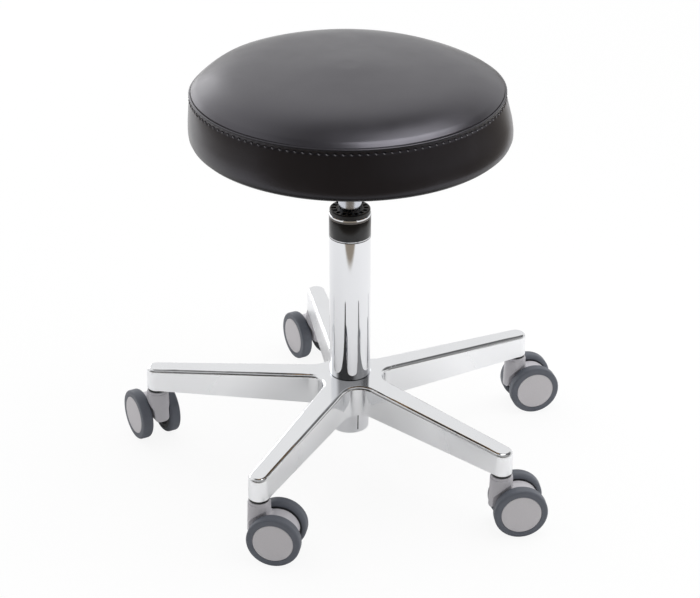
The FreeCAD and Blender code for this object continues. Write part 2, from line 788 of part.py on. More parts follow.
def build_release_ring():
    """Cup under the seat that tips on its rim, with spokes out to the finger ring."""
    disc_radius = f"{s.release_disc_diameter} / 2"
    rim_bore = f"({disc_radius} - {s.release_disc_thickness})"
    floor_top = f"({disc_underside} + {s.release_disc_thickness})"
    rim_top = f"({s.seat_underside_height} - {s.release_rim_gap})"
    body = turned_body("release_ring", [
        ("0", disc_underside),
        (disc_radius, disc_underside),
        (disc_radius, rim_top),
        (rim_bore, rim_top),
        (rim_bore, floor_top),
        ("0", floor_top),
    ])
    spoke_height = f"({disc_underside} + {s.release_spoke_lift})"
    section = new_sketch(body, "YZ_Plane", z=rim_bore)
    draw_circle(section, "0", spoke_height, s.release_spoke_diameter)
    spoke = pad(body, section, f"{s.release_ring_radius} - {rim_bore}")
    polar_pattern(body, [spoke], SPOKE_COUNT)
    wire = new_sketch(body, "XZ_Plane")
    draw_circle(wire, s.release_ring_radius, spoke_height, s.release_ring_wire)
    revolve(body, wire)


def build_seat_board():
    """Plywood disc with counterbored holes for the flush nuts."""
    body = turned_body("seat_board", [
        ("0", s.seat_underside_height),
        (board_radius, s.seat_underside_height),
        (board_radius, board_top),
        ("0", board_top),
    ])
    dress_edges(body, "Fillet", s.board_edge_fillet, ring_at(board_radius, s.seat_underside_height))
    reach_x = f"{s.bolt_circle_radius} * cos({BOLT_TURN})"
    reach_y = f"{s.bolt_circle_radius} * sin({BOLT_TURN})"
    cuts = []
    for diameter, depth in (
        (s.nut_flange_diameter, f"{s.nut_flange_thickness} + {s.nut_clearance}"),
        (s.nut_barrel_diameter, s.board_thickness),
    ):
        sketch = new_sketch(body, "XY_Plane", z=board_top)
        draw_circle(sketch, reach_x, reach_y, f"{diameter} + 2 * {s.nut_clearance}")
        cuts.append(pocket(body, sketch, depth))
    polar_pattern(body, cuts, BOLT_COUNT)


def draw_hexagon(sketch, x, y, width):
    """Hexagon by its width across flats, centred on (x, y)."""
    step = 360 / WRENCH_SIDES
    corner = f"({width} / 2 / cos({step / 2}))"
    draw_outline(sketch, [
        (f"{x} + {corner} * cos({step * i})", f"{y} + {corner} * sin({step * i})")
        for i in range(WRENCH_SIDES)
    ])


def build_seat_bolts():
    """Hexagon bolts that hold the plate to the board."""
    body = new_body("seat_bolts")
    reach_x = f"{s.bolt_circle_radius} * cos({BOLT_TURN})"
    reach_y = f"{s.bolt_circle_radius} * sin({BOLT_TURN})"
    head_plan = new_sketch(body, "XY_Plane", z=f"{plate_underside} - {s.bolt_head_height}")
    draw_hexagon(head_plan, reach_x, reach_y, s.bolt_head_width)
    head = pad(body, head_plan, s.bolt_head_height)
    shank_plan = new_sketch(body, "XY_Plane", z=plate_underside)
    draw_circle(shank_plan, reach_x, reach_y, s.bolt_diameter)
    shank = pad(body, shank_plan, s.bolt_length)
    polar_pattern(body, [head, shank], BOLT_COUNT)


def build_seat_nuts():
    """Flanged nuts let into the top of the board."""
    body = new_body("seat_nuts")
    reach_x = f"{s.bolt_circle_radius} * cos({BOLT_TURN})"
    reach_y = f"{s.bolt_circle_radius} * sin({BOLT_TURN})"
    bore = f"({s.bolt_diameter} + 2 * {s.slide_clearance})"
    flange_foot = f"({board_top} - {s.nut_clearance} - {s.nut_flange_thickness})"
    rings = []
    for diameter, foot, length in (
        (s.nut_flange_diameter, flange_foot, s.nut_flange_thickness),
        (s.nut_barrel_diameter, f"{flange_foot} - {s.nut_barrel_length}", s.nut_barrel_length),
    ):
        sketch = new_sketch(body, "XY_Plane", z=foot)
        draw_circle(sketch, reach_x, reach_y, diameter)
        draw_circle(sketch, reach_x, reach_y, bore)
        rings.append(pad(body, sketch, length))
    polar_pattern(body, rings, BOLT_COUNT)


def seat_level(height):
    """Height above the floor of a level measured up from the seat's underside."""
    return f"({s.seat_underside_height} + {height})"


def build_cushion():
    """Foam on the board and round its edge, with a sewn border and top panel over it."""
    skin = s.cover_thickness
    under = f"({s.seat_underside_height} - {skin})"
    wrap_edge = f"({board_radius} - {s.cover_wrap_width})"
    bulge = seat_level(s.seat_bulge_height)
    seam = seat_level(s.seam_height)
    seam_radius = f"({seat_radius} - {s.seam_inset})"
    border = turned_body("cover_border", [
        (wrap_edge, under),
        (seat_radius, under),
        (seat_radius, bulge),
        (seam_radius, seam),
        (f"{seam_radius} - {skin}", seam),
        (f"{seat_radius} - {skin}", bulge),
        (f"{seat_radius} - {skin}", s.seat_underside_height),
        (wrap_edge, s.seat_underside_height),
    ])
    dress_edges(border, "Fillet", s.cover_corner_fillet, ring_at(seat_radius, under))
    inner_corner = ring_at(f"{seat_radius} - {skin}", s.seat_underside_height)
    dress_edges(border, "Fillet", f"{s.cover_corner_fillet} - {skin}", inner_corner)

    crown = seat_level(s.crown_height)
    shoulder = seat_level(s.shoulder_height)
    shoulder_radius = f"({seat_radius} - {s.shoulder_inset})"
    panel = turned_body("cover_top_panel", [
        ("0", crown),
        (shoulder_radius, shoulder),
        (seam_radius, seam),
        (f"{seam_radius} - {skin}", seam),
        (f"{shoulder_radius} - {skin} / 2", f"{shoulder} - {skin}"),
        ("0", f"{crown} - {skin}"),
    ])
    dress_edges(panel, "Fillet", s.shoulder_fillet, ring_at(shoulder_radius, shoulder))
    inner_shoulder = ring_at(f"{shoulder_radius} - {skin} / 2", f"{shoulder} - {skin}")
    dress_edges(panel, "Fillet", f"{s.shoulder_fillet} - {skin}", inner_shoulder)

    inside = f"({skin} + {s.foam_clearance})"
    foam_shoulder = (f"{shoulder_radius} - {inside} / 2", f"{shoulder} - {inside}")
    edge_bore = f"({board_radius} + {s.foam_clearance})"
    edge_foot = f"({s.seat_underside_height} + {s.cover_corner_fillet})"
    foam = turned_body("cushion_foam", [
        ("0", f"{board_top} + {s.foam_clearance}"),
        (edge_bore, f"{board_top} + {s.foam_clearance}"),
        (edge_bore, edge_foot),
        (f"{seat_radius} - {inside}", edge_foot),
        (f"{seat_radius} - {inside}", bulge),
        (f"{seam_radius} - {inside}", seam),
        foam_shoulder,
        ("0", f"{crown} - {inside}"),
    ])
    dress_edges(foam, "Fillet", f"{s.shoulder_fillet} - {inside}", ring_at(*foam_shoulder))


def draw_fender(sketch):
    """Round fender about the axle, cut off level at the hood's lower edge."""
    radius = value(s.fender_radius)
    drop = value(f"{wheel_radius} - {s.hood_floor_height}")
    half_chord = (radius ** 2 - drop ** 2) ** 0.5
    centre = FreeCAD.Vector(value(s.caster_trail), value(wheel_radius), 0)
    ends = [centre + FreeCAD.Vector(side * half_chord, -drop, 0) for side in (1, -1)]
    top = centre + FreeCAD.Vector(0, radius, 0)
    arc = sketch.addGeometry(Part.Arc(ends[0], top, ends[1]), False)
    chord = sketch.addGeometry(Part.LineSegment(ends[1], ends[0]), False)
    sketch.addConstraint([
        Sketcher.Constraint("Coincident", arc, 2, chord, 1),
        Sketcher.Constraint("Coincident", chord, 2, arc, 1),
        Sketcher.Constraint("Horizontal", chord),
    ])
    place_point(sketch, arc, 3, s.caster_trail, wheel_radius)
    bind(sketch, "Radius", (arc,), s.fender_radius)
    bind(sketch, "DistanceY", (-1, 1, chord, 1), s.hood_floor_height)


def round_shield(body):
    """Soften the hood: where the fender leaves the neck, the shield's lower corners and its edges."""
    floor = value(s.hood_floor_height)
    half_width = value(s.hood_half_width)
    trail = value(s.caster_trail)
    axle_height = value(wheel_radius)
    fender = value(s.fender_radius)
    foot = value(s.hood_foot_diameter) / 2
    lip = value(f"{neck_top} - {s.hood_lip_height}")
    draw_in = (foot - value(s.hood_neck_diameter) / 2) / (lip - floor)

    def on_neck(point):
        return abs((point.x ** 2 + point.y ** 2) ** 0.5 - foot + draw_in * (point.z - floor)) < 0.01

    def on_fender(point):
        return abs(((point.x - trail) ** 2 + (point.z - axle_height) ** 2) ** 0.5 - fender) < 0.01

    def leaves_neck(edge):
        return all(on_neck(p) and on_fender(p) for p in edge.discretize(5))

    def is_lower_corner(edge):
        points = edge.discretize(3)
        beside = all(abs(p.z - floor) + abs(abs(p.y) - half_width) < 0.01 for p in points)
        return beside and min(p.x for p in points) < 0

    def is_shield_edge(edge):
        points = edge.discretize(5)
        return all(on_neck(p) and p.z < lip - 1 for p in points) and max(p.z for p in points) > floor + 1

    dress_edges(body, "Fillet", s.fender_fillet, leaves_neck)
    dress_edges(body, "Fillet", s.shield_corner_fillet, is_lower_corner)
    dress_edges(body, "Fillet", s.shield_edge_fillet, is_shield_edge)


def build_hood_pattern():
    """Caster hood: neck round the stem, fender between the wheels, open underneath."""
    body = new_body("hood_pattern", written=False)
    neck_radius = f"{s.hood_neck_diameter} / 2"
    lip_radius = f"({neck_radius} - {s.hood_lip_inset})"
    lip_foot = f"({neck_top} - {s.hood_lip_height})"
    neck = new_sketch(body, "XZ_Plane")
    draw_outline(neck, [
        ("0", s.hood_floor_height),
        (f"{s.hood_foot_diameter} / 2", s.hood_floor_height),
        (neck_radius, lip_foot),
        (lip_radius, lip_foot),
        (lip_radius, neck_top),
        ("0", neck_top),
    ])
    revolve(body, neck)
    fender = new_sketch(body, "XZ_Plane")
    draw_fender(fender)
    pad(body, fender, f"2 * {s.hood_half_width}", SideType="Symmetric")

    for side in (1, -1):
        arch = new_sketch(body, "XZ_Plane", z=f"{side} * {s.hood_half_width}")
        draw_circle(arch, s.caster_trail, wheel_radius, f"{s.wheel_diameter} + 2 * {s.arch_clearance}")
        pocket(body, arch, s.hood_foot_diameter, Reversed=side > 0)
    round_shield(body)

    recess = new_sketch(body, "XY_Plane", z=s.hood_floor_height)
    front = f"-({s.hood_foot_diameter} / 2 - 2 * {s.hood_wall})"
    half = f"({s.hood_half_width} - {s.hood_wall})"
    draw_outline(recess, [(front, f"-{half}"), ("0", f"-{half}"), ("0", half), (front, half)])
    pocket(body, recess, s.shield_recess_depth, Reversed=True)

    inside = new_sketch(body, "XZ_Plane")
    draw_circle(inside, s.caster_trail, wheel_radius, f"2 * ({s.fender_radius} - {s.hood_wall})")
    pocket(body, inside, f"2 * ({s.hood_half_width} - {s.hood_wall})", SideType="Symmetric")

    stem_boss = new_sketch(body, "XY_Plane", z=f"{neck_top} - {s.stem_engagement} - {s.hood_wall}")
    draw_circle(stem_boss, "0", "0", s.stem_boss_diameter)
    pad(body, stem_boss, f"{s.stem_engagement} + {s.hood_wall}")
    axle_boss = new_sketch(body, "XZ_Plane")
    draw_circle(axle_boss, s.caster_trail, wheel_radius, s.axle_boss_diameter)
    pad(body, axle_boss, f"2 * {s.hood_half_width}", SideType="Symmetric")

    stem_bore = new_sketch(body, "XY_Plane", z=neck_top)
    draw_circle(stem_bore, "0", "0", f"{s.stem_diameter} + 2 * {s.slide_clearance}")
    pocket(body, stem_bore, f"{s.stem_engagement} + {s.swivel_clearance}")
    axle_bore = new_sketch(body, "XZ_Plane")
    draw_circle(axle_bore, s.caster_trail, wheel_radius, f"{s.axle_diameter} + 2 * {s.slide_clearance}")
    pocket(body, axle_bore, f"2 * ({s.hood_half_width} + {CUT_MARGIN})", SideType="Symmetric")

    dress_edges(body, "Fillet", s.hood_edge_fillet, ring_at(lip_radius, neck_top))
    return body


# offsets of the wheel's faces from the caster's middle plane
tyre_inner = s.wheel_inner_offset
tyre_outer = f"({s.wheel_inner_offset} + {s.wheel_width})"
rim_inner = f"({tyre_inner} + {s.rim_inset})"
rim_outer = f"({rim_inner} + {s.rim_width})"
cap_face = f"({tyre_outer} + {s.cap_proud})"
cap_back = f"({cap_face} - {s.cap_thickness})"
rim_radius = f"{s.rim_diameter} / 2"
rim_bore = f"({rim_radius} - {s.rim_thickness})"


def build_axle_pattern():
    body = new_body("axle_pattern", written=False)
    sketch = new_sketch(body, "XZ_Plane")
    draw_circle(sketch, s.caster_trail, wheel_radius, s.axle_diameter)
    pad(body, sketch, f"2 * ({cap_back} - {s.axle_end_recess})", SideType="Symmetric")
    return body


def wheel_pattern(label, corners):
    """Body turned about the axle; corners are (radius, offset from the caster's middle plane)."""
    body = new_body(label, written=False)
    sketch = new_sketch(body, "XY_Plane", x=s.caster_trail, z=wheel_radius)
    draw_outline(sketch, corners)
    revolve(body, sketch)
    return body


def axle_ring(radius, offset):
    """Test for the circular edge of that radius round the axle, offset from the middle plane."""
    wanted_radius = value(radius)
    wanted_offset = value(offset)

    def is_ring(edge):
        curve = edge.Curve
        if not isinstance(curve, Part.Circle):
            return False
        return abs(curve.Radius - wanted_radius) + abs(curve.Center.y - wanted_offset) < 1e-4

    return is_ring


def build_core_pattern():
    """Wheel core: hub on the axle, web and rim."""
    bore = f"({s.axle_diameter} / 2 + {s.slide_clearance})"
    hub = f"{s.wheel_hub_diameter} / 2"
    web_inner = f"({rim_inner} + {s.wheel_web_inset})"
    web_outer = f"({web_inner} + {s.wheel_web_thickness})"
    return wheel_pattern("core_pattern", [
        (bore, rim_inner),
        (hub, rim_inner),
        (hub, web_inner),
        (rim_bore, web_inner),
        (rim_bore, rim_inner),
        (rim_radius, rim_inner),
        (rim_radius, rim_outer),
        (rim_bore, rim_outer),
        (rim_bore, web_outer),
        (hub, web_outer),
        (hub, cap_back),
        (bore, cap_back),
    ])


def build_tyre_pattern():
    """Soft tread moulded round the rim, with a side wall down to the cap."""
    seat = f"({rim_radius} + {s.tyre_bond})"
    side_wall = f"({s.cap_diameter} / 2 + {s.cap_fit})"
    step = f"({rim_outer} + {s.tyre_bond})"
    body = wheel_pattern("tyre_pattern", [
        (seat, tyre_inner),
        (wheel_radius, tyre_inner),
        (wheel_radius, tyre_outer),
        (side_wall, tyre_outer),
        (side_wall, step),
        (seat, step),
    ])
    dress_edges(body, "Fillet", s.tyre_inner_round, axle_ring(wheel_radius, tyre_inner))
    dress_edges(body, "Fillet", s.tyre_outer_round, axle_ring(wheel_radius, tyre_outer))
    return body


def build_cap_pattern():
    """Wheel cap with a skirt that snaps into the rim."""
    radius = f"{s.cap_diameter} / 2"
    skirt = f"({rim_bore} - {s.cap_fit})"
    skirt_bore = f"({skirt} - {s.cap_thickness})"
    skirt_end = f"({cap_back} - {s.cap_skirt_height})"
    body = wheel_pattern("cap_pattern", [
        ("0", cap_back),
        (skirt_bore, cap_back),
        (skirt_bore, skirt_end),
        (skirt, skirt_end),
        (skirt, cap_back),
        (radius, cap_back),
        (radius, cap_face),
        ("0", cap_face),
    ])
    dress_edges(body, "Chamfer", s.cap_edge_chamfer, axle_ring(radius, cap_face))
    return body


def build_casters():
    """Five casters, each turned to its own swivel angle; the second wheel is the first turned round."""
    hood = build_hood_pattern()
    axle = build_axle_pattern()
    wheel = {"core": build_core_pattern(), "tyre": build_tyre_pattern(), "cap": build_cap_pattern()}
    for number, leg in enumerate(LEG_NAMES):
        bearing = f"({s.star_turn} + {number * LEG_PITCH})"
        swivel = getattr(s, f"swivel_{leg}")
        x = f"{s.stem_circle_radius} * cos({bearing})"
        y = f"{s.stem_circle_radius} * sin({bearing})"
        far_x = f"{x} + 2 * {s.caster_trail} * cos({swivel})"
        far_y = f"{y} + 2 * {s.caster_trail} * sin({swivel})"
        placed_copy(hood, f"hood_{leg}", x, y, swivel)
        placed_copy(axle, f"axle_{leg}", x, y, swivel)
        for piece, pattern in wheel.items():
            placed_copy(pattern, f"{piece}_{leg}_a", x, y, swivel)
            placed_copy(pattern, f"{piece}_{leg}_b", far_x, far_y, f"{swivel} + 180")


def write_parts():
    """Write every sub-part once the whole document has come out sound."""
    doc.recompute()
    for thing in doc.Objects:
        if "Invalid" in thing.State or "Error" in thing.State:
            raise RuntimeError(f"{thing.Name} failed: {thing.State}")
    for body in sub_parts:
        if body.Shape.isNull() or not body.Shape.isValid() or not body.Shape.Solids:
            raise RuntimeError(f"{body.Label} has no valid solid")
    os.makedirs("parts", exist_ok=True)
    for body in sub_parts:
        body.Shape.exportStep(f"parts/{body.Label}.step")


build_star_base()
build_caster_stems()
build_column_tube()
build_guide_bush()
build_thrust_bearing()
build_piston_rod()
build_piston()
build_rod_bumper()
build_retaining_clip()
build_gas_cylinder()
build_rod_gland()
build_release_pin()
build_seat_plate()
build_release_ring()
build_seat_board()
build_seat_bolts()
build_seat_nuts()
build_cushion()
build_casters()
write_parts()
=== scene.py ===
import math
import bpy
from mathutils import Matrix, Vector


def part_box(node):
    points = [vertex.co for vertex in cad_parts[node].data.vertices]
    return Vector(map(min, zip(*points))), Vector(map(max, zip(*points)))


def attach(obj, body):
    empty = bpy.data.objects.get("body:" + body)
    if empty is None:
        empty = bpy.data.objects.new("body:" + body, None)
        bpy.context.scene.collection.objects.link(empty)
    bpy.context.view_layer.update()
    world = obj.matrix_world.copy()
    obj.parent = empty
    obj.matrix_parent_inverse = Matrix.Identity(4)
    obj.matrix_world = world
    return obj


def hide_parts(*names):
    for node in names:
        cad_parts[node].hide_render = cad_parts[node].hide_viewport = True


bl_info = {
    "name": "Round Work Stool",
    "version": (1, 0, 0),
    "blender": (4, 5, 0),
    "location": "View3D > Sidebar > Stool",
    "description": "Dresses a round work stool: padded seat, chrome column, star base, casters and studio",
    "category": "Object",
}

import bpy
import numpy as np
from mathutils import Euler, Matrix, Vector

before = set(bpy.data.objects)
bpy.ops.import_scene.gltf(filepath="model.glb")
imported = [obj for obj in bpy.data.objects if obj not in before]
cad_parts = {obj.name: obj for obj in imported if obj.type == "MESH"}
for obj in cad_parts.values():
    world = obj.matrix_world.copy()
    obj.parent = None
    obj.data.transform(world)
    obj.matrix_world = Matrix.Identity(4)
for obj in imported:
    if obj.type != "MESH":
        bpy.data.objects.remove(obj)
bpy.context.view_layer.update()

MM = 0.001
FULL_TURN = 2 * math.pi
LEGS = ("right", "back", "left", "front_left", "front_right")
SIDES = ("a", "b")
BACK = (0, 1, 0)
UP = (0, 0, 1)
# the side where the studio is dimmest: the camera's, a little to its left
DARK_SIDE = (-0.34, -0.94, 0)
# flats in the seam's outline towards the back: direction and spread in degrees, depth in millimetres
FLATS = ((160, 19, 6.2), (46, 28, 5.6))
# share of the slant that the cushion's foot takes to the right; the seam takes the rest to the left
FOOT_SHARE = 0.3
# frames that the cloth is given to settle
SIM_FRAMES = 20


class StoolSizes(bpy.types.PropertyGroup):
    """Sizes of the pieces that are sewn, wrapped or set up here."""

    seat_radius: bpy.props.FloatProperty(
        name="Seat radius", description="Widest reach of the border from the column axis",
        default=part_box("cover_border")[1].x, unit="LENGTH")
    seam_radius: bpy.props.FloatProperty(
        name="Seam radius", description="Radius of the seam between border and top panel",
        default=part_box("cover_top_panel")[1].x, unit="LENGTH")
    seam_height: bpy.props.FloatProperty(
        name="Seam height", description="Height of the seam above the floor",
        default=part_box("cover_border")[1].z, unit="LENGTH")
    crown_height: bpy.props.FloatProperty(
        name="Crown height", description="Height of the middle of the seat above the floor",
        default=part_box("cover_top_panel")[1].z, unit="LENGTH")
    slant: bpy.props.FloatProperty(
        name="Slant", description="How far the seam sits to the left of the cushion's foot",
        default=0.0043, unit="LENGTH")
    stitch_count: bpy.props.IntProperty(
        name="Stitches", description="Stitches in the row under the seam, a multiple of 5", default=130)
    stitch_drop: bpy.props.FloatProperty(
        name="Stitch drop", description="Distance along the border from the seam down to the stitches",
        default=0.0062, unit="LENGTH")
    stitch_length: bpy.props.FloatProperty(
        name="Stitch length", description="Length of thread that shows between two holes",
        default=0.003, unit="LENGTH")
    thread_radius: bpy.props.FloatProperty(
        name="Thread radius", description="Half the thickness of the sewing thread",
        default=0.00065, unit="LENGTH")
    band_height: bpy.props.FloatProperty(
        name="Band height", description="Height of the foil band round the column",
        default=0.0282, unit="LENGTH")
    band_drop: bpy.props.FloatProperty(
        name="Band drop", description="Bare chrome between the column's rim and the band",
        default=0.0023, unit="LENGTH")


def linear(hex_colour):
    """Linear RGBA of an sRGB hex colour."""
    parts = [int(hex_colour[i:i + 2], 16) / 255 for i in (1, 3, 5)]
    return [p / 12.92 if p <= 0.04045 else ((p + 0.055) / 1.055) ** 2.4 for p in parts] + [1]


def tint(name, description, hex_colour):
    """Colour setting whose default is an sRGB hex colour."""
    return bpy.props.FloatVectorProperty(
        name=name, description=description, default=linear(hex_colour), size=4, min=0, max=1, subtype="COLOR")


class StoolColours(bpy.types.PropertyGroup):
    """Colours of the finishes."""

    leather: tint("Leather", "Faux leather of the seat", "#131113")
    # painted highlight: the thread is black; its light grey stands for the glints on the stitches
    thread: tint("Thread", "Sewing thread", "#86848a")
    aluminium: tint("Aluminium", "Polished star base", "#f7f8fa")
    chrome: tint("Chrome", "Column, and the silver line on the band", "#e6e7ea")
    cylinder: tint("Cylinder", "Ground steel of the gas cylinder", "#c9ccd3")
    tread: tint("Tread", "Soft tyres", "#5f636c")
    cap: tint("Cap", "Wheel caps", "#cecbce")
    hood: tint("Hood", "Caster hoods", "#c2c0c5")
    core: tint("Core", "Wheel cores inside the tyres", "#3a3b3f")
    black: tint("Black", "Bush, stems, band, seat plate and release ring", "#161618")
    floor: tint("Floor", "Studio floor", "#f7f7f7")
    room: tint("Room", "Studio beyond the sheet of floor, as mirrors see it", "#9a9083")


def add_node(tree, kind, inputs=None, **settings):
    """Add a node; an input given as a (node, output) pair is linked, any other value is set."""
    node = tree.nodes.new(kind)
    for name, setting in settings.items():
        setattr(node, name, setting)
    for socket, source in (inputs or {}).items():
        if isinstance(source, tuple) and isinstance(source[0], bpy.types.Node):
            tree.links.new(source[0].outputs[source[1]], node.inputs[socket])
        else:
            node.inputs[socket].default_value = source
    return node


def calculate(tree, operation, first, second):
    """Math node on two inputs."""
    return add_node(tree, "ShaderNodeMath", {0: first, 1: second}, operation=operation)


def ramp(tree, value, span, levels, **settings):
    """Node that turns a span of values into a span of levels and holds the end levels beyond it."""
    return add_node(tree, "ShaderNodeMapRange", {
        "Value": value, "From Min": span[0], "From Max": span[1], "To Min": levels[0], "To Max": levels[1],
    }, **settings)


def mix_colours(tree, share, first, second):
    """Node that blends two colours; the result is its output 2."""
    return add_node(tree, "ShaderNodeMix", {0: share, 6: first, 7: second}, data_type="RGBA")


def new_finish(name, colour, roughness, spread=0, mottle=(0, 0), grain=(0, 0), **sockets):
    """Principled finish with uneven roughness, mottled colour and a fine grain; sizes in metres."""
    material = bpy.data.materials.new(name)
    material.use_nodes = True
    tree = material.node_tree
    tree.nodes.clear()
    place = add_node(tree, "ShaderNodeTexCoord")
    shader = add_node(tree, "ShaderNodeBsdfPrincipled", {"Roughness": roughness, "Base Color": colour})
    for socket, setting in sockets.items():
        shader.inputs[socket.replace("_", " ")].default_value = setting
    add_node(tree, "ShaderNodeOutputMaterial", {"Surface": (shader, "BSDF")})
    size, share = mottle
    if size:
        patches = add_node(tree, "ShaderNodeTexNoise", {
            "Vector": (place, "Object"), "Scale": 1 / size, "Detail": 4.0})
        darker = [c * (1 - share) for c in colour[:3]] + [1]
        lighter = [min(1, c * (1 + share)) for c in colour[:3]] + [1]
        blend = mix_colours(tree, (patches, 0), darker, lighter)
        tree.links.new(blend.outputs[2], shader.inputs["Base Color"])
        if spread:
            level = ramp(tree, (patches, 0), (0.3, 0.7), (roughness - spread, roughness + spread))
            tree.links.new(level.outputs[0], shader.inputs["Roughness"])
    size, depth = grain
    if size:
        pits = add_node(tree, "ShaderNodeTexNoise", {
            "Vector": (place, "Object"), "Scale": 1 / size, "Detail": 2.0})
        bump = add_node(tree, "ShaderNodeBump", {"Height": (pits, 0), "Distance": depth})
        tree.links.new(bump.outputs[0], shader.inputs["Normal"])
    return material, tree, shader, place


def leather_finish(colours):
    """PU-coated cloth: satin, with a pebble grain and a slight waviness over the foam."""
    material, tree, shader, place = new_finish(
        "black_faux_leather", colours.leather, 0.31, spread=0.03, mottle=(30 * MM, 0.1),
        Specular_Tint=linear("#f2eeff"), Coat_Roughness=0.3)
    # painted shade: the reflection is turned down on faces that look down, where the cover is drawn round
    # under the board
    coat = 0.3
    shape = add_node(tree, "ShaderNodeNewGeometry")
    facing = add_node(tree, "ShaderNodeSeparateXYZ", {0: (shape, "Normal")})
    gloss = ramp(tree, (facing, "Z"), (-0.45, 0.2), (0.08, 1.0))
    tree.links.new(gloss.outputs[0], shader.inputs["Specular IOR Level"])
    film = calculate(tree, "MULTIPLY", (gloss, 0), coat)
    tree.links.new(film.outputs[0], shader.inputs["Coat Weight"])
    # real pebbles are about 0.6 mm across; 1 mm is the finest that still shows
    pebble, wave = 1.0 * MM, 28 * MM
    pebbles = add_node(tree, "ShaderNodeTexVoronoi", {
        "Vector": (place, "Object"), "Scale": 1 / pebble, "Smoothness": 0.5}, feature="SMOOTH_F1")
    waves = add_node(tree, "ShaderNodeTexNoise", {
        "Vector": (place, "Object"), "Scale": 1 / wave, "Detail": 1.0})
    fine = add_node(tree, "ShaderNodeBump", {"Height": (pebbles, 0), "Distance": 0.02 * MM})
    broad = add_node(tree, "ShaderNodeBump", {
        "Height": (waves, 0), "Distance": 0.06 * MM, "Normal": (fine, 0)})
    tree.links.new(broad.outputs[0], shader.inputs["Normal"])
    return material


def aluminium_finish(colours):
    """Die-cast aluminium: mirror-polished tops and hub, satin leg walls, faint drag lines along the legs."""
    mirror, hub_wall, satin = 0.1, 0.13, 0.36
    valley_shade = 0.84
    material, tree, shader, place = new_finish(
        "polished_cast_aluminium", colours.aluminium, mirror, mottle=(40 * MM, 0.03), Metallic=1)
    shape = add_node(tree, "ShaderNodeNewGeometry")
    facing = add_node(tree, "ShaderNodeSeparateXYZ", {0: (shape, "Normal")})
    spot = add_node(tree, "ShaderNodeSeparateXYZ", {0: (place, "Object")})
    turn = calculate(tree, "ARCTAN2", (spot, "Y"), (spot, "X"))
    reach = add_node(tree, "ShaderNodeVectorMath", {0: (place, "Object")}, operation="LENGTH")
    wall = ramp(tree, (reach, "Value"), (0.13, 0.24), (hub_wall, satin), interpolation_type="SMOOTHSTEP")
    polish = ramp(tree, (facing, "Z"), (0.3, 0.9), ((wall, 0), mirror))
    tree.links.new(polish.outputs[0], shader.inputs["Roughness"])
    # painted shade: the walls near the hub are painted darker, as light is lost between the walls of its
    # valleys
    valley = ramp(tree, (reach, "Value"), (0.12, 0.18), (valley_shade, 1.0))
    shade = ramp(tree, (facing, "Z"), (0.3, 0.7), ((valley, 0), 1.0))
    paint = shader.inputs["Base Color"].links[0].from_socket
    valley_shaded_paint = add_node(tree, "ShaderNodeVectorMath", {"Scale": (shade, 0)}, operation="SCALE")
    tree.links.new(paint, valley_shaded_paint.inputs[0])
    tree.links.new(valley_shaded_paint.outputs[0], shader.inputs["Base Color"])
    # drag lines 0.8 mm apart at mid leg and about 40 mm long
    across = calculate(tree, "MULTIPLY", (turn, 0), 180.0)
    along = calculate(tree, "MULTIPLY", (reach, "Value"), 25.0)
    upward = calculate(tree, "MULTIPLY", (spot, "Z"), 900.0)
    streak = add_node(tree, "ShaderNodeCombineXYZ", {0: (across, 0), 1: (along, 0), 2: (upward, 0)})
    lines = add_node(tree, "ShaderNodeTexNoise", {"Vector": (streak, 0), "Scale": 1.0, "Detail": 3.0})
    bump = add_node(tree, "ShaderNodeBump", {"Height": (lines, 0), "Distance": 0.005 * MM})
    tree.links.new(bump.outputs[0], shader.inputs["Normal"])
    return material


def foil_finish(colours, low, high):
    """Foil, left bare of print: gloss black, a thin silver line near its lower edge and a grey hem on top."""
    line_rise, line_half, hem_height = 1.7 * MM, 0.5 * MM, 2.4 * MM
    material, tree, shader, place = new_finish(
        "black_foil", colours.black, 0.22, spread=0.05, mottle=(10 * MM, 0.1))
    spot = add_node(tree, "ShaderNodeSeparateXYZ", {0: (place, "Object")})
    line = add_node(tree, "ShaderNodeMath", {
        0: (spot, "Z"), 1: low + line_rise, 2: line_half}, operation="COMPARE")
    silver = mix_colours(tree, (line, 0), colours.black, colours.chrome)
    top = calculate(tree, "GREATER_THAN", (spot, "Z"), high - hem_height)
    hem = mix_colours(tree, (top, 0), (silver, 2), linear("#8f8b89"))
    tree.links.new(hem.outputs[2], shader.inputs["Base Color"])
    tree.links.new(line.outputs[0], shader.inputs["Metallic"])
    return material


def plywood_finish():
    """Birch plywood: pale face veneer with long grain lines."""
    material, tree, shader, place = new_finish("birch_plywood", linear("#b08a5c"), 0.6)
    # growth lines 4 mm apart and 60 mm long
    stretch = add_node(tree, "ShaderNodeMapping", {"Vector": (place, "Object"), "Scale": (1, 14, 1)})
    rings = add_node(tree, "ShaderNodeTexNoise", {
        "Vector": (stretch, 0), "Scale": 1 / (60 * MM), "Detail": 6.0, "Distortion": 0.6})
    blend = mix_colours(tree, (rings, 0), linear("#8d6a42"), linear("#caa675"))
    tree.links.new(blend.outputs[2], shader.inputs["Base Color"])
    return material


def new_piece(name, points, faces, material):
    """Smooth-shaded mesh object at the origin from points in metres."""
    mesh = bpy.data.meshes.new(name)
    mesh.from_pydata(points, [], faces)
    mesh.materials.append(material)
    mesh.polygons.foreach_set("use_smooth", [True] * len(mesh.polygons))
    piece = bpy.data.objects.new(name, mesh)
    bpy.context.scene.collection.objects.link(piece)
    return piece


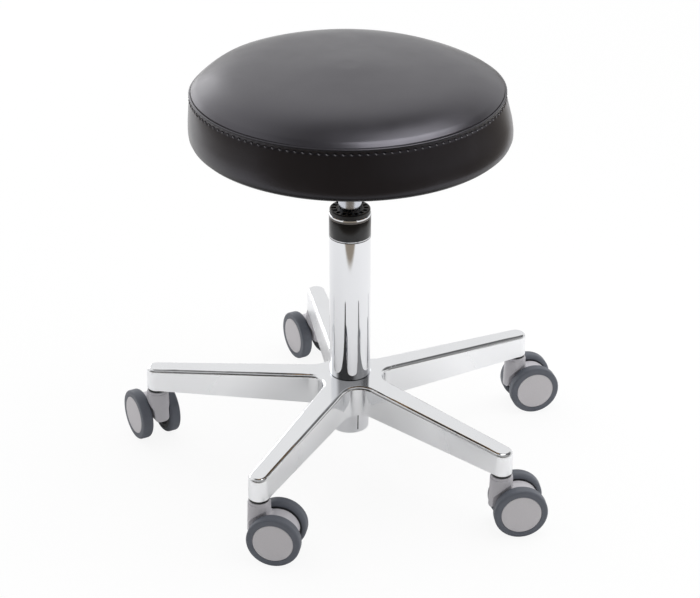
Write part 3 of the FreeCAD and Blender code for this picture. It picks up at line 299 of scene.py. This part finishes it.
def rounded(corners, steps=10):
    """Open line through (x, y, radius) corners, with each inner corner rounded."""
    line = [corners[0][:2]]
    for before, (x, y, radius), after in zip(corners, corners[1:], corners[2:]):
        here = Vector((x, y))
        inward = (Vector(before[:2]) - here).normalized()
        onward = (Vector(after[:2]) - here).normalized()
        half = inward.angle(onward) / 2
        centre = here + (inward + onward).normalized() * (radius / math.sin(half))
        start = here + inward * (radius / math.tan(half)) - centre
        end = here + onward * (radius / math.tan(half)) - centre
        sweep = start.angle_signed(end)
        for step in range(steps + 1):
            spoke = start.copy()
            spoke.rotate(Matrix.Rotation(-sweep * step / steps, 2))
            line.append(tuple(centre + spoke))
    line.append(corners[-1][:2])
    return np.array(line)


def bridge(lower, upper):
    """Faces between two rings of point numbers, where one ring has a whole multiple of the other's points."""
    if len(lower) < len(upper):
        return [face[::-1] for face in bridge(upper, lower)]
    ratio = len(lower) // len(upper)
    faces = []
    for j, here in enumerate(upper):
        there = upper[(j + 1) % len(upper)]
        edge = [lower[(j * ratio + i) % len(lower)] for i in range(ratio + 1)]
        if ratio == 1 and here != there:
            faces.append((edge[0], edge[1], there, here))
            continue
        half = ratio if here == there else (ratio + 1) // 2
        faces += [(edge[i], edge[i + 1], here if i < half else there) for i in range(ratio)]
        if here != there:
            faces.append((edge[half], there, here))
    return faces


def skin_rings(rings):
    """Points and faces of a skin over rings of points, each an array of one row per point."""
    numbers, first = [], 0
    for ring in rings:
        numbers.append(list(range(first, first + len(ring))))
        first += len(ring)
    faces = []
    for lower, upper in zip(numbers, numbers[1:]):
        faces += bridge(lower, upper)
    return np.concatenate(rings), faces


def even_angles(count):
    """Angles of points spread evenly round a turn."""
    return np.arange(count) * FULL_TURN / count


def circle_ring(radius, height, count):
    """Points spread evenly round a level circle about the column axis."""
    angle = even_angles(count)
    return np.stack([radius * np.cos(angle), radius * np.sin(angle), np.full(count, height)], 1)


def cover_line(sizes):
    """Line of the cover from the staples under the board, out, up to the seam and in to the crown."""
    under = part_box("cover_border")[0].z
    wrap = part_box("seat_board")[1].x - 30 * MM
    foot_round, waist, waist_round = 11 * MM, 20.3 * MM, 120 * MM
    border = rounded([
        (wrap, under, 0),
        (sizes.seat_radius, under, foot_round),
        (sizes.seat_radius, under + waist, waist_round),
        (sizes.seam_radius, sizes.seam_height, 0),
    ])
    # a shallow dome that rounds over towards the seam: a square law plus a steep one near the edge
    share = np.linspace(1, 0, 120)
    rise = sizes.crown_height - sizes.seam_height
    shallow = 0.29 * rise
    drop = shallow * share ** 2 + (rise - shallow) * share ** 6
    panel = np.stack([sizes.seam_radius * share, sizes.crown_height - drop], 1)[1:]
    return border, panel


def line_length(line):
    """Run along a line from its start to each of its points."""
    return np.concatenate([[0], np.cumsum(np.hypot(*np.diff(line, axis=0).T))])


def along_line(line, run, places):
    """Points and outward normals of a line at the given runs."""
    def points_at(runs):
        """Points of the line at the given runs."""
        return np.stack([np.interp(runs, run, line[:, k]) for k in (0, 1)], 1)

    step = 0.4 * MM
    tangent = points_at(places + step) - points_at(places - step)
    normal = np.stack([tangent[:, 1], -tangent[:, 0]], 1)
    return points_at(places), normal / np.linalg.norm(normal, axis=1, keepdims=True)


def swell(values, low, high):
    """Smooth step from 0 at low to 1 at high."""
    share = np.clip((values - low) / (high - low), 0, 1)
    return share * share * (3 - 2 * share)


def drawn_points(radius, angle, level, sizes):
    """Points of the cover, which its seam draws to the left and in at two shallow flats towards the back."""
    hold = swell(level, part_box("cover_border")[0].z, sizes.seam_height)
    inward = 0
    for middle, spread, depth in FLATS:
        off = (angle - math.radians(middle) + math.pi) % FULL_TURN - math.pi
        inward = inward + depth * MM * np.exp(-(off / math.radians(spread)) ** 2)
    reach = radius * (1 - hold * inward / sizes.seam_radius)
    aside = sizes.slant * (FOOT_SHARE - hold)
    return np.stack([reach * np.cos(angle) + aside, reach * np.sin(angle), level + 0 * angle], 1)


def inflate_cover(line, run, seam_run, places, count):
    """Swelling of the cover under the foam's push, by cloth simulation: one row of shifts per place."""
    spots, normals = along_line(line, run, places)
    # the cloth starts a little inside its line, except near the staples and the seam, which hold it
    near_pin = np.minimum(np.abs(places - seam_run), places)
    shrink = 1.2 * MM * swell(near_pin, 2 * MM, 30 * MM)
    start = spots - normals * shrink[:, None]
    least = 0.2 * MM
    points, faces = skin_rings([circle_ring(max(r, least), z, count) for r, z in start])
    cloth_piece = new_piece("cover_cloth", points, faces, None)
    pins = cloth_piece.vertex_groups.new(name="pins")
    seam_row = int(np.argmin(np.abs(places - seam_run)))
    stapled = list(range(3 * count))
    sewn = [seam_row * count + i for i in range(0, count, 2)]
    pins.add(stapled + sewn, 1.0, "REPLACE")
    cloth = cloth_piece.modifiers.new("cloth", "CLOTH")
    cloth.settings.quality = 6
    cloth.settings.mass = 0.3
    cloth.settings.tension_stiffness = 25
    cloth.settings.compression_stiffness = 25
    cloth.settings.shear_stiffness = 10
    cloth.settings.bending_stiffness = 4
    cloth.settings.use_pressure = True
    cloth.settings.uniform_pressure_force = 4
    cloth.settings.vertex_group_mass = "pins"
    cloth.settings.effector_weights.gravity = 0
    for step in range(SIM_FRAMES):
        bpy.context.scene.frame_set(step + 1)
    graph = bpy.context.evaluated_depsgraph_get()
    result = cloth_piece.evaluated_get(graph).data
    moved = np.empty(len(points) * 3)
    result.vertices.foreach_get("co", moved)
    moved = moved.reshape(len(places), count, 3)
    angle = even_angles(count)
    outward = np.stack([
        normals[:, :1] * np.cos(angle),
        normals[:, :1] * np.sin(angle),
        np.repeat(normals[:, 1:], count, 1),
    ], 2)
    base = np.stack([circle_ring(max(r, least), z, count) for r, z in spots])
    shift = np.clip(((moved - base) * outward).sum(2), -0.2 * MM, 3 * MM)
    bpy.data.objects.remove(cloth_piece)
    bpy.context.scene.frame_set(1)
    # foam bonded to the cover keeps it smoother than free cloth, most of all round the crown
    reach = 3
    window = 2 * reach + 1
    padded = np.pad(shift.mean(1), reach, mode="reflect")
    even = np.convolve(padded, np.ones(window) / window, mode="valid")[:, None]
    crease = 0.25 * swell(spots[:, :1], 20 * MM, 90 * MM)
    return even + crease * (shift - even)


def ridge(place, middle, width):
    """Bell of height 1 about a middle place."""
    return np.exp(-((place - middle) / width) ** 2)


def sewn_detail(from_seam, angle, sizes):
    """Height that sewing adds to the cover: seam groove, rolled edge, slanted stitch holes and puckers."""
    # all in millimetres up to the last line
    t = from_seam / MM
    below = t + sizes.stitch_drop / MM
    pitch = FULL_TURN * sizes.seam_radius / sizes.stitch_count / MM
    turns = angle * sizes.stitch_count / FULL_TURN
    along = (turns - np.round(turns)) * pitch
    # the seam is drawn deepest at the two sides
    side = np.cos(2 * angle)
    groove = -(1.4 + 0.8 * side) * ridge(t, 0, 0.65 + 0.2 * side)
    rolled = 1.3 * ridge(t, -1.5, 0.95)
    channel = -0.3 * ridge(below, 0, 1.6)
    holes = -2.2 * ridge(along + 0.5 * below, 0, 1.4) * ridge(below, 0, 1.0)
    lips = 0.3 * ridge(along, 1.2, 1.2) * ridge(below, -1.5, 0.8)
    pucker = 0.12 * np.cos(FULL_TURN * turns) * ridge(below, 0, 4)
    plump = 0.4 * ridge(t, 8, 5)
    return (groove + rolled + channel + holes + lips + pucker + plump) * MM


class STOOL_OT_sew_cushion(bpy.types.Operator):
    """Sew the cover, swell it over its foam and set it on the board"""

    bl_idname = "stool.sew_cushion"
    bl_label = "Sew Cushion"

    def execute(self, context):
        sizes = context.scene.stool_sizes
        colours = context.scene.stool_colours
        border, panel = cover_line(sizes)
        line = np.concatenate([border, panel])
        run = line_length(line)
        seam_run = line_length(border)[-1]
        end = run[-1]

        # rings lie closest together where the cover is sewn, and stop short of the crown
        sewn_from, sewn_to = seam_run - 14 * MM, seam_run + 10 * MM
        crown = 14 * MM
        fine = np.concatenate([
            np.linspace(0, sewn_from, 18, endpoint=False),
            np.linspace(sewn_from, sewn_to, 56, endpoint=False),
            np.linspace(sewn_to, end - crown, 34),
        ])
        coarse = np.concatenate([np.linspace(0, seam_run, 17), np.linspace(seam_run, end, 28)[1:]])
        sim_count = 2 * sizes.stitch_count
        sim_angle = np.arange(sim_count + 1) * FULL_TURN / sim_count
        shift = inflate_cover(line, run, seam_run, coarse, sim_count)

        spots, normals = along_line(line, run, fine)
        points_per_stitch, points_elsewhere = 12, 3
        rings = []
        for place, (r, z), normal in zip(fine, spots, normals):
            from_seam = place - seam_run
            sewn = -sizes.stitch_drop - 3 * MM < from_seam < 2 * MM
            angle = even_angles(sizes.stitch_count * (points_per_stitch if sewn else points_elsewhere))
            row = np.clip(np.searchsorted(coarse, place) - 1, 0, len(coarse) - 2)
            share = (place - coarse[row]) / (coarse[row + 1] - coarse[row])
            profile = shift[row] * (1 - share) + shift[row + 1] * share
            height = np.interp(angle, sim_angle, np.append(profile, profile[0]))
            height = height + sewn_detail(from_seam, angle, sizes)
            radius = r + height * normal[0]
            level = z + height * normal[1]
            rings.append(drawn_points(radius, angle, level, sizes))

        # the crown rises a hair towards its middle
        crown_slope = 0.004
        level = float(rings[-1][:, 2].mean())
        aside = (FOOT_SHARE - 1) * sizes.slant
        wide = len(rings[0])
        for radius, count in ((10 * MM, wide // 5), (5 * MM, wide // 15), (0, 1)):
            middle = circle_ring(radius, level + (crown - radius) * crown_slope, count)
            rings.append(middle + [aside, 0, 0])

        # the hollow that takes the board
        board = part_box("seat_board")
        clearance = 0.1 * MM
        hollow = board[1].x + clearance
        ceiling = board[1].z + clearance
        foot = board[0].z
        wrap = float(np.hypot(*rings[0][0, :2]))
        inner = [
            circle_ring(0, ceiling, 1),
            circle_ring(hollow * 0.4, ceiling, wide // 5),
            circle_ring(hollow, ceiling, wide),
            circle_ring(hollow, foot, wide),
            circle_ring(wrap, foot, wide),
        ]
        points, faces = skin_rings(inner + rings)
        cushion = new_piece("seat_cushion", points, faces, leather_finish(colours))
        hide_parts("cushion_foam", "cover_border", "cover_top_panel")
        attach(cushion, "seat")

        spot, _ = along_line(line, run, np.array([seam_run - sizes.stitch_drop]))
        context.scene["stitch_path"] = [float(spot[0][0]), float(spot[0][1])]
        return {"FINISHED"}


def stitch_tree():
    """Geometry nodes that lay one stitch after another on the points of a path round the seat."""
    tree = bpy.data.node_groups.new("seam_stitches", "GeometryNodeTree")
    sockets = {}
    for name, kind in (("Path", "Geometry"), ("Stitches", "Int"), ("Stitch length", "Float"),
                       ("Thread radius", "Float"), ("Lean", "Float"), ("Dive", "Float"),
                       ("Thread", "Material")):
        sockets[name] = tree.interface.new_socket(
            name=name, in_out="INPUT", socket_type=f"NodeSocket{kind}").identifier
    tree.interface.new_socket(name="Geometry", in_out="OUTPUT", socket_type="NodeSocketGeometry")
    given = add_node(tree, "NodeGroupInput")
    number = add_node(tree, "GeometryNodeInputIndex")
    step = calculate(tree, "DIVIDE", FULL_TURN, (given, "Stitches"))
    turn = calculate(tree, "MULTIPLY", (number, 0), (step, 0))
    dive = calculate(tree, "ADD", (turn, 0), (given, "Dive"))
    heading = add_node(tree, "ShaderNodeCombineXYZ", {0: (given, "Lean"), 2: (dive, 0)})
    bead = add_node(tree, "GeometryNodeMeshUVSphere", {"Segments": 8, "Rings": 6, "Radius": 1.0})
    half = calculate(tree, "MULTIPLY", (given, "Stitch length"), 0.5)
    shape = add_node(tree, "ShaderNodeCombineXYZ", {
        0: (given, "Thread radius"), 1: (half, 0), 2: (given, "Thread radius")})
    stitch = add_node(tree, "GeometryNodeTransform", {"Geometry": (bead, 0), "Scale": (shape, 0)})
    row = add_node(tree, "GeometryNodeInstanceOnPoints", {
        "Points": (given, "Path"), "Instance": (stitch, 0), "Rotation": (heading, 0)})
    real = add_node(tree, "GeometryNodeRealizeInstances", {0: (row, 0)})
    soft = add_node(tree, "GeometryNodeSetShadeSmooth", {0: (real, 0)})
    dressed = add_node(tree, "GeometryNodeSetMaterial", {
        "Geometry": (soft, 0), "Material": (given, "Thread")})
    add_node(tree, "NodeGroupOutput", {0: (dressed, 0)})
    return tree, sockets


def realised(piece):
    """Turn a piece's modifiers into a plain mesh."""
    graph = bpy.context.evaluated_depsgraph_get()
    mesh = bpy.data.meshes.new_from_object(piece.evaluated_get(graph))
    piece.modifiers.clear()
    piece.data = mesh
    mesh.name = piece.name
    return piece


class STOOL_OT_lay_stitches(bpy.types.Operator):
    """Lay the row of stitches under the seam"""

    bl_idname = "stool.lay_stitches"
    bl_label = "Lay Stitches"

    def execute(self, context):
        sizes = context.scene.stool_sizes
        radius, height = context.scene["stitch_path"]
        # painted highlight: light grey thread stands for the glints on black thread
        thread = new_finish(
            "thread_painted_with_glints", context.scene.stool_colours.thread, 0.3, mottle=(0.4 * MM, 0.3),
            Specular_IOR_Level=0.8)[0]
        tree, sockets = stitch_tree()
        # the thread lies a little proud of the cover and low in its holes
        proud, sag = 0.1 * MM, 0.8 * MM
        path = drawn_points(radius + proud, even_angles(sizes.stitch_count), height - sag, sizes)
        row = new_piece("seam_stitches", path, [], thread)
        sewing = row.modifiers.new("sewing", "NODES")
        sewing.node_group = tree
        for name, setting in (
            ("Stitches", sizes.stitch_count),
            ("Stitch length", sizes.stitch_length),
            ("Thread radius", sizes.thread_radius),
            ("Lean", math.radians(-40)),
            ("Dive", math.radians(-14)),
            ("Thread", thread),
        ):
            sewing[sockets[name]] = setting
        realised(row)
        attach(row, "seat")
        return {"FINISHED"}


class STOOL_OT_wrap_band(bpy.types.Operator):
    """Wrap the foil band round the top of the column"""

    bl_idname = "stool.wrap_band"
    bl_label = "Wrap Band"

    def execute(self, context):
        sizes = context.scene.stool_sizes
        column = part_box("column_tube")
        radius = column[1].x
        high = column[1].z - sizes.band_drop
        low = high - sizes.band_height
        # the foil's two faces, measured from the tube, and its rounded edges
        outer, inner = 0.16 * MM, 0.02 * MM
        edge, edge_rise = 0.7 * outer, 0.1 * MM
        count = 144
        rings = [circle_ring(radius + reach, level, count) for reach, level in (
            (inner, low), (edge, low), (outer, low + edge_rise),
            (outer, high - edge_rise), (edge, high), (inner, high))]
        points, faces = skin_rings(rings)
        last = len(points) - count
        faces += bridge(list(range(last, last + count)), list(range(count)))
        band = new_piece("column_band", points, faces, foil_finish(context.scene.stool_colours, low, high))
        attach(band, "base")
        return {"FINISHED"}


def dress(names, material):
    """Give carried-over CAD nodes a finish."""
    for name in names:
        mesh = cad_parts[name].data
        mesh.materials.clear()
        mesh.materials.append(material)


def dress_rows(rows):
    """Dress CAD nodes from rows of finish, colour, roughness, spread, mottle, grain, metallic and nodes."""
    for name, colour, roughness, spread, mottle, grain, metallic, nodes in rows:
        material = new_finish(
            name, colour, roughness, spread=spread, mottle=mottle, grain=grain, Metallic=metallic)[0]
        dress(nodes, material)


class STOOL_OT_dress_metal(bpy.types.Operator):
    """Finish the star base, column, lift and seat fittings"""

    bl_idname = "stool.dress_metal"
    bl_label = "Dress Metal and Fittings"

    def execute(self, context):
        colours = context.scene.stool_colours
        dress(["star_base"], aluminium_finish(colours))
        dress_rows((
            # bright chromium plate: near mirror with a breath of unevenness
            ("chromium_plate", colours.chrome, 0.04, 0.015, (50 * MM, 0.02), (9 * MM, 0.006 * MM), 1,
             ["column_tube"]),
            # ground and nitrided steel: a soft grey mirror
            ("ground_steel", colours.cylinder, 0.16, 0.03, (20 * MM, 0.05), (2 * MM, 0.004 * MM), 1,
             ["gas_cylinder"]),
            # moulded acetal: smooth with a dull sheen
            ("moulded_black_acetal", colours.black, 0.38, 0.06, (2 * MM, 0.2), (0.5 * MM, 0.01 * MM), 0,
             ["guide_bush", "rod_gland"]),
            # phosphated steel: black and a little dusty
            ("phosphated_steel", colours.black, 0.45, 0.08, (3 * MM, 0.3), (0.6 * MM, 0.015 * MM), 0,
             ["caster_stems", "retaining_clip"]),
            # powder coat: orange peel about 1 mm across
            ("black_powder_coat", colours.black, 0.42, 0.05, (5 * MM, 0.15), (1.1 * MM, 0.03 * MM), 0,
             ["seat_plate", "release_ring"]),
            # zinc plate: grey, with an uneven shine
            ("zinc_plated_steel", linear("#b4b5b3"), 0.3, 0.1, (2 * MM, 0.12), (0.4 * MM, 0.01 * MM), 1,
             ["seat_bolts", "seat_nuts", "thrust_bearing", "piston_rod", "piston", "release_pin",
              *(f"axle_{leg}" for leg in LEGS)]),
            # moulded rubber: matt
            ("black_rubber", linear("#141414"), 0.7, 0.08, (3 * MM, 0.25), (0.7 * MM, 0.03 * MM), 0,
             ["rod_bumper"]),
        ))
        dress(["seat_board"], plywood_finish())
        return {"FINISHED"}


class STOOL_OT_dress_casters(bpy.types.Operator):
    """Finish the hoods, tyres, wheel cores and caps"""

    bl_idname = "stool.dress_casters"
    bl_label = "Dress Casters"

    def execute(self, context):
        colours = context.scene.stool_colours
        wheels = [f"{leg}_{side}" for leg in LEGS for side in SIDES]
        dress_rows((
            # soft polyurethane tread: matt, with the dull bloom of a moulded skin
            ("grey_polyurethane_tread", colours.tread, 0.5, 0.07, (6 * MM, 0.08), (0.7 * MM, 0.012 * MM), 0,
             [f"tyre_{wheel}" for wheel in wheels]),
            # spark-eroded nylon: an even fine sparkle 0.5 mm across
            ("grey_textured_nylon", colours.cap, 0.46, 0.05, (0.9 * MM, 0.08), (0.5 * MM, 0.02 * MM), 0,
             [f"cap_{wheel}" for wheel in wheels]),
            # nylon from a polished mould: a soft sheen
            ("grey_moulded_nylon", colours.hood, 0.34, 0.05, (4 * MM, 0.04), (0.8 * MM, 0.008 * MM), 0,
             [f"hood_{leg}" for leg in LEGS]),
            # nylon from a plain mould: dull
            ("dark_moulded_nylon", colours.core, 0.5, 0.06, (4 * MM, 0.08), (0.8 * MM, 0.01 * MM), 0,
             [f"core_{wheel}" for wheel in wheels]),
        ))
        return {"FINISHED"}


def studio_world():
    """Soft studio: white behind and beside the object, a dark room in front, a dim ceiling in mirrors."""
    world = bpy.data.worlds.new("soft_studio")
    world.use_nodes = True
    tree = world.node_tree
    tree.nodes.clear()
    way = add_node(tree, "ShaderNodeTexCoord")

    def slope(axis, span, levels):
        """Smooth change of level along a direction."""
        along = add_node(
            tree, "ShaderNodeVectorMath", {0: (way, "Generated"), 1: axis}, operation="DOT_PRODUCT")
        return ramp(tree, (along, "Value"), span, levels, interpolation_type="SMOOTHSTEP")

    def combine(operation, first, second):
        """Math node on the results of two nodes."""
        return calculate(tree, operation, (first, 0), (second, 0))

    # what mirrors see: a white backdrop up to a height that falls to the right, a ceiling panel in front,
    # a window on the right and a dark room
    front_to_back = (-0.45, 0.1)
    backdrop = combine(
        "MULTIPLY", slope(BACK, front_to_back, (0, 1)), slope((0.4, 0, 1), (0.64, 0.84), (1, 0)))
    panel = combine("MULTIPLY", slope(BACK, front_to_back, (0.55, 0)), slope(UP, (0.45, 0.7), (0, 1)))
    panel = combine("MULTIPLY", panel, slope(UP, (0.94, 1.0), (1, 0)))
    window = slope((0.8, -0.6, 0.1), (0.7, 1.0), (0, 0.28))
    room = combine("ADD", slope(BACK, front_to_back, (0.05, 0.15)), combine("MAXIMUM", panel, window))
    mirror_level = add_node(tree, "ShaderNodeMix", {0: (backdrop, 0), 2: (room, 0), 3: 1.0})
    # what lights the matt pieces, and what the camera sees: plain white
    soft_level = slope(DARK_SIDE, (-0.4, 1.0), (1.6, 0.35))
    strength = 0.8
    rays = add_node(tree, "ShaderNodeLightPath")
    mirrored = calculate(tree, "MAXIMUM", (rays, "Is Glossy Ray"), (rays, "Is Transmission Ray"))
    lit = add_node(tree, "ShaderNodeMix", {0: (mirrored, 0), 2: (soft_level, 0), 3: (mirror_level, 0)})
    dimmed = calculate(tree, "MULTIPLY", (lit, 0), strength)
    seen = add_node(tree, "ShaderNodeMix", {0: (rays, "Is Camera Ray"), 2: (dimmed, 0), 3: 1.0})
    sky = add_node(tree, "ShaderNodeBackground", {"Color": (1, 1, 1, 1), "Strength": (seen, 0)})
    add_node(tree, "ShaderNodeOutputWorld", {0: (sky, 0)})
    return world


def floor_finish(colours):
    """Matt white paper sheet that ends short of the camera and the walls, with a faint shadow on it."""
    front, left, right = -0.57, -1.3, 1.0
    glow_share = 0.9
    material, tree, shader, place = new_finish(
        "white_paper_sheet", colours.floor, 0.9, Specular_IOR_Level=0.0)
    rays = add_node(tree, "ShaderNodeLightPath")
    spot = add_node(tree, "ShaderNodeSeparateXYZ", {0: (place, "Object")})
    # depth inside the sheet's edges; the camera sees the sheet everywhere
    ahead = calculate(tree, "SUBTRACT", (spot, "Y"), front)
    aside = calculate(tree, "SUBTRACT", (spot, "X"), (left + right) / 2)
    off_middle = add_node(tree, "ShaderNodeMath", {0: (aside, 0)}, operation="ABSOLUTE")
    beside = calculate(tree, "SUBTRACT", (right - left) / 2, (off_middle, 0))
    inside = calculate(tree, "MINIMUM", (ahead, 0), (beside, 0))
    sheet = ramp(tree, (inside, 0), (-0.02, 0.02), (0.0, 1.0))
    white = calculate(tree, "MAXIMUM", (sheet, 0), (rays, "Is Camera Ray"))
    # the room beyond the sheet darkens with distance
    near = ramp(tree, (inside, 0), (-0.45, 0.0), (0.4, 1.0))
    room = mix_colours(tree, (near, 0), (0, 0, 0, 1), colours.room)
    # the sheet sends less soft light up from its dark side
    away = add_node(
        tree, "ShaderNodeVectorMath", {0: (place, "Object"), 1: DARK_SIDE}, operation="DOT_PRODUCT")
    fall = ramp(tree, (away, "Value"), (-0.2, 0.5), (0.0, 0.2))
    dimming = calculate(tree, "MULTIPLY", (fall, 0), (rays, "Is Diffuse Ray"))
    shade = calculate(tree, "SUBTRACT", 1.0, (dimming, 0))
    paper = add_node(tree, "ShaderNodeVectorMath", {
        0: colours.floor[:3], "Scale": (shade, 0)}, operation="SCALE")
    paint = mix_colours(tree, (white, 0), (room, 2), (paper, 0))
    tree.links.new(paint.outputs[2], shader.inputs["Base Color"])
    # a glow for the camera alone lifts the paper to the white of a cut-out
    glow_paint = mix_colours(tree, (white, 0), (room, 2), (shade, 0))
    glow = add_node(tree, "ShaderNodeEmission", {"Color": (glow_paint, 2), "Strength": 1.0})
    share = calculate(tree, "MULTIPLY", (rays, "Is Camera Ray"), glow_share)
    blend = add_node(tree, "ShaderNodeMixShader", {0: (share, 0), 1: (shader, 0), 2: (glow, 0)})
    surface = next(node for node in tree.nodes if node.bl_idname == "ShaderNodeOutputMaterial")
    tree.links.new(blend.outputs[0], surface.inputs["Surface"])
    return material


class STOOL_OT_set_stage(bpy.types.Operator):
    """Set up the floor, the soft studio light and the camera"""

    bl_idname = "stool.set_stage"
    bl_label = "Set Stage"

    def execute(self, context):
        scene = context.scene
        scene.view_settings.view_transform = "Standard"
        scene.world = studio_world()

        size = 60.0
        corners = [(-size, -size, 0), (size, -size, 0), (size, size, 0), (-size, size, 0)]
        floor = new_piece("studio_floor", corners, [(0, 1, 2, 3)], floor_finish(scene.stool_colours))

        for name, spot, turn, width, height, power in (
            ("key_softbox", (0.285, -0.01, 1.1), (0, 0, 39), 0.55, 0.26, 2.0),
            ("rim_softbox", (-1.9, 2.6, 1.1), (76, 0, 216), 2.2, 1.8, 17),
        ):
            lamp = bpy.data.lights.new(name, "AREA")
            lamp.shape = "RECTANGLE"
            lamp.size = width
            lamp.size_y = height
            lamp.energy = power
            lamp_object = bpy.data.objects.new(name, lamp)
            scene.collection.objects.link(lamp_object)
            lamp_object.location = spot
            lamp_object.rotation_euler = [math.radians(angle) for angle in turn]

        lens = bpy.data.cameras.new("camera")
        lens.sensor_width = 36
        lens.lens = 104.65
        lens.clip_end = 100
        camera = bpy.data.objects.new("camera", lens)
        scene.collection.objects.link(camera)
        camera.location = (0, -2.18672, 1.36644)
        camera.rotation_euler = Euler((math.radians(62.29), 0, 0))
        scene.camera = camera
        return {"FINISHED"}


class STOOL_PT_panel(bpy.types.Panel):
    """Steps and settings of the stool"""

    bl_label = "Stool"
    bl_space_type = "VIEW_3D"
    bl_region_type = "UI"
    bl_category = "Stool"

    def draw(self, context):
        for settings in (context.scene.stool_sizes, context.scene.stool_colours):
            for name in settings.__annotations__:
                self.layout.prop(settings, name)
        for step in STEPS:
            self.layout.operator(step.bl_idname)


# in the order in which main() runs them; the stitches need the path that the cushion leaves
STEPS = (
    STOOL_OT_set_stage,
    STOOL_OT_dress_metal,
    STOOL_OT_dress_casters,
    STOOL_OT_wrap_band,
    STOOL_OT_sew_cushion,
    STOOL_OT_lay_stitches,
)
CLASSES = (StoolSizes, StoolColours, *STEPS, STOOL_PT_panel)


def register():
    for cls in CLASSES:
        bpy.utils.register_class(cls)
    bpy.types.Scene.stool_sizes = bpy.props.PointerProperty(type=StoolSizes)
    bpy.types.Scene.stool_colours = bpy.props.PointerProperty(type=StoolColours)


def unregister():
    del bpy.types.Scene.stool_colours
    del bpy.types.Scene.stool_sizes
    for cls in reversed(CLASSES):
        bpy.utils.unregister_class(cls)


def main():
    register()
    for step in STEPS:
        group, name = step.bl_idname.split(".")
        getattr(getattr(bpy.ops, group), name)()


if __name__ == "__main__":
    main()
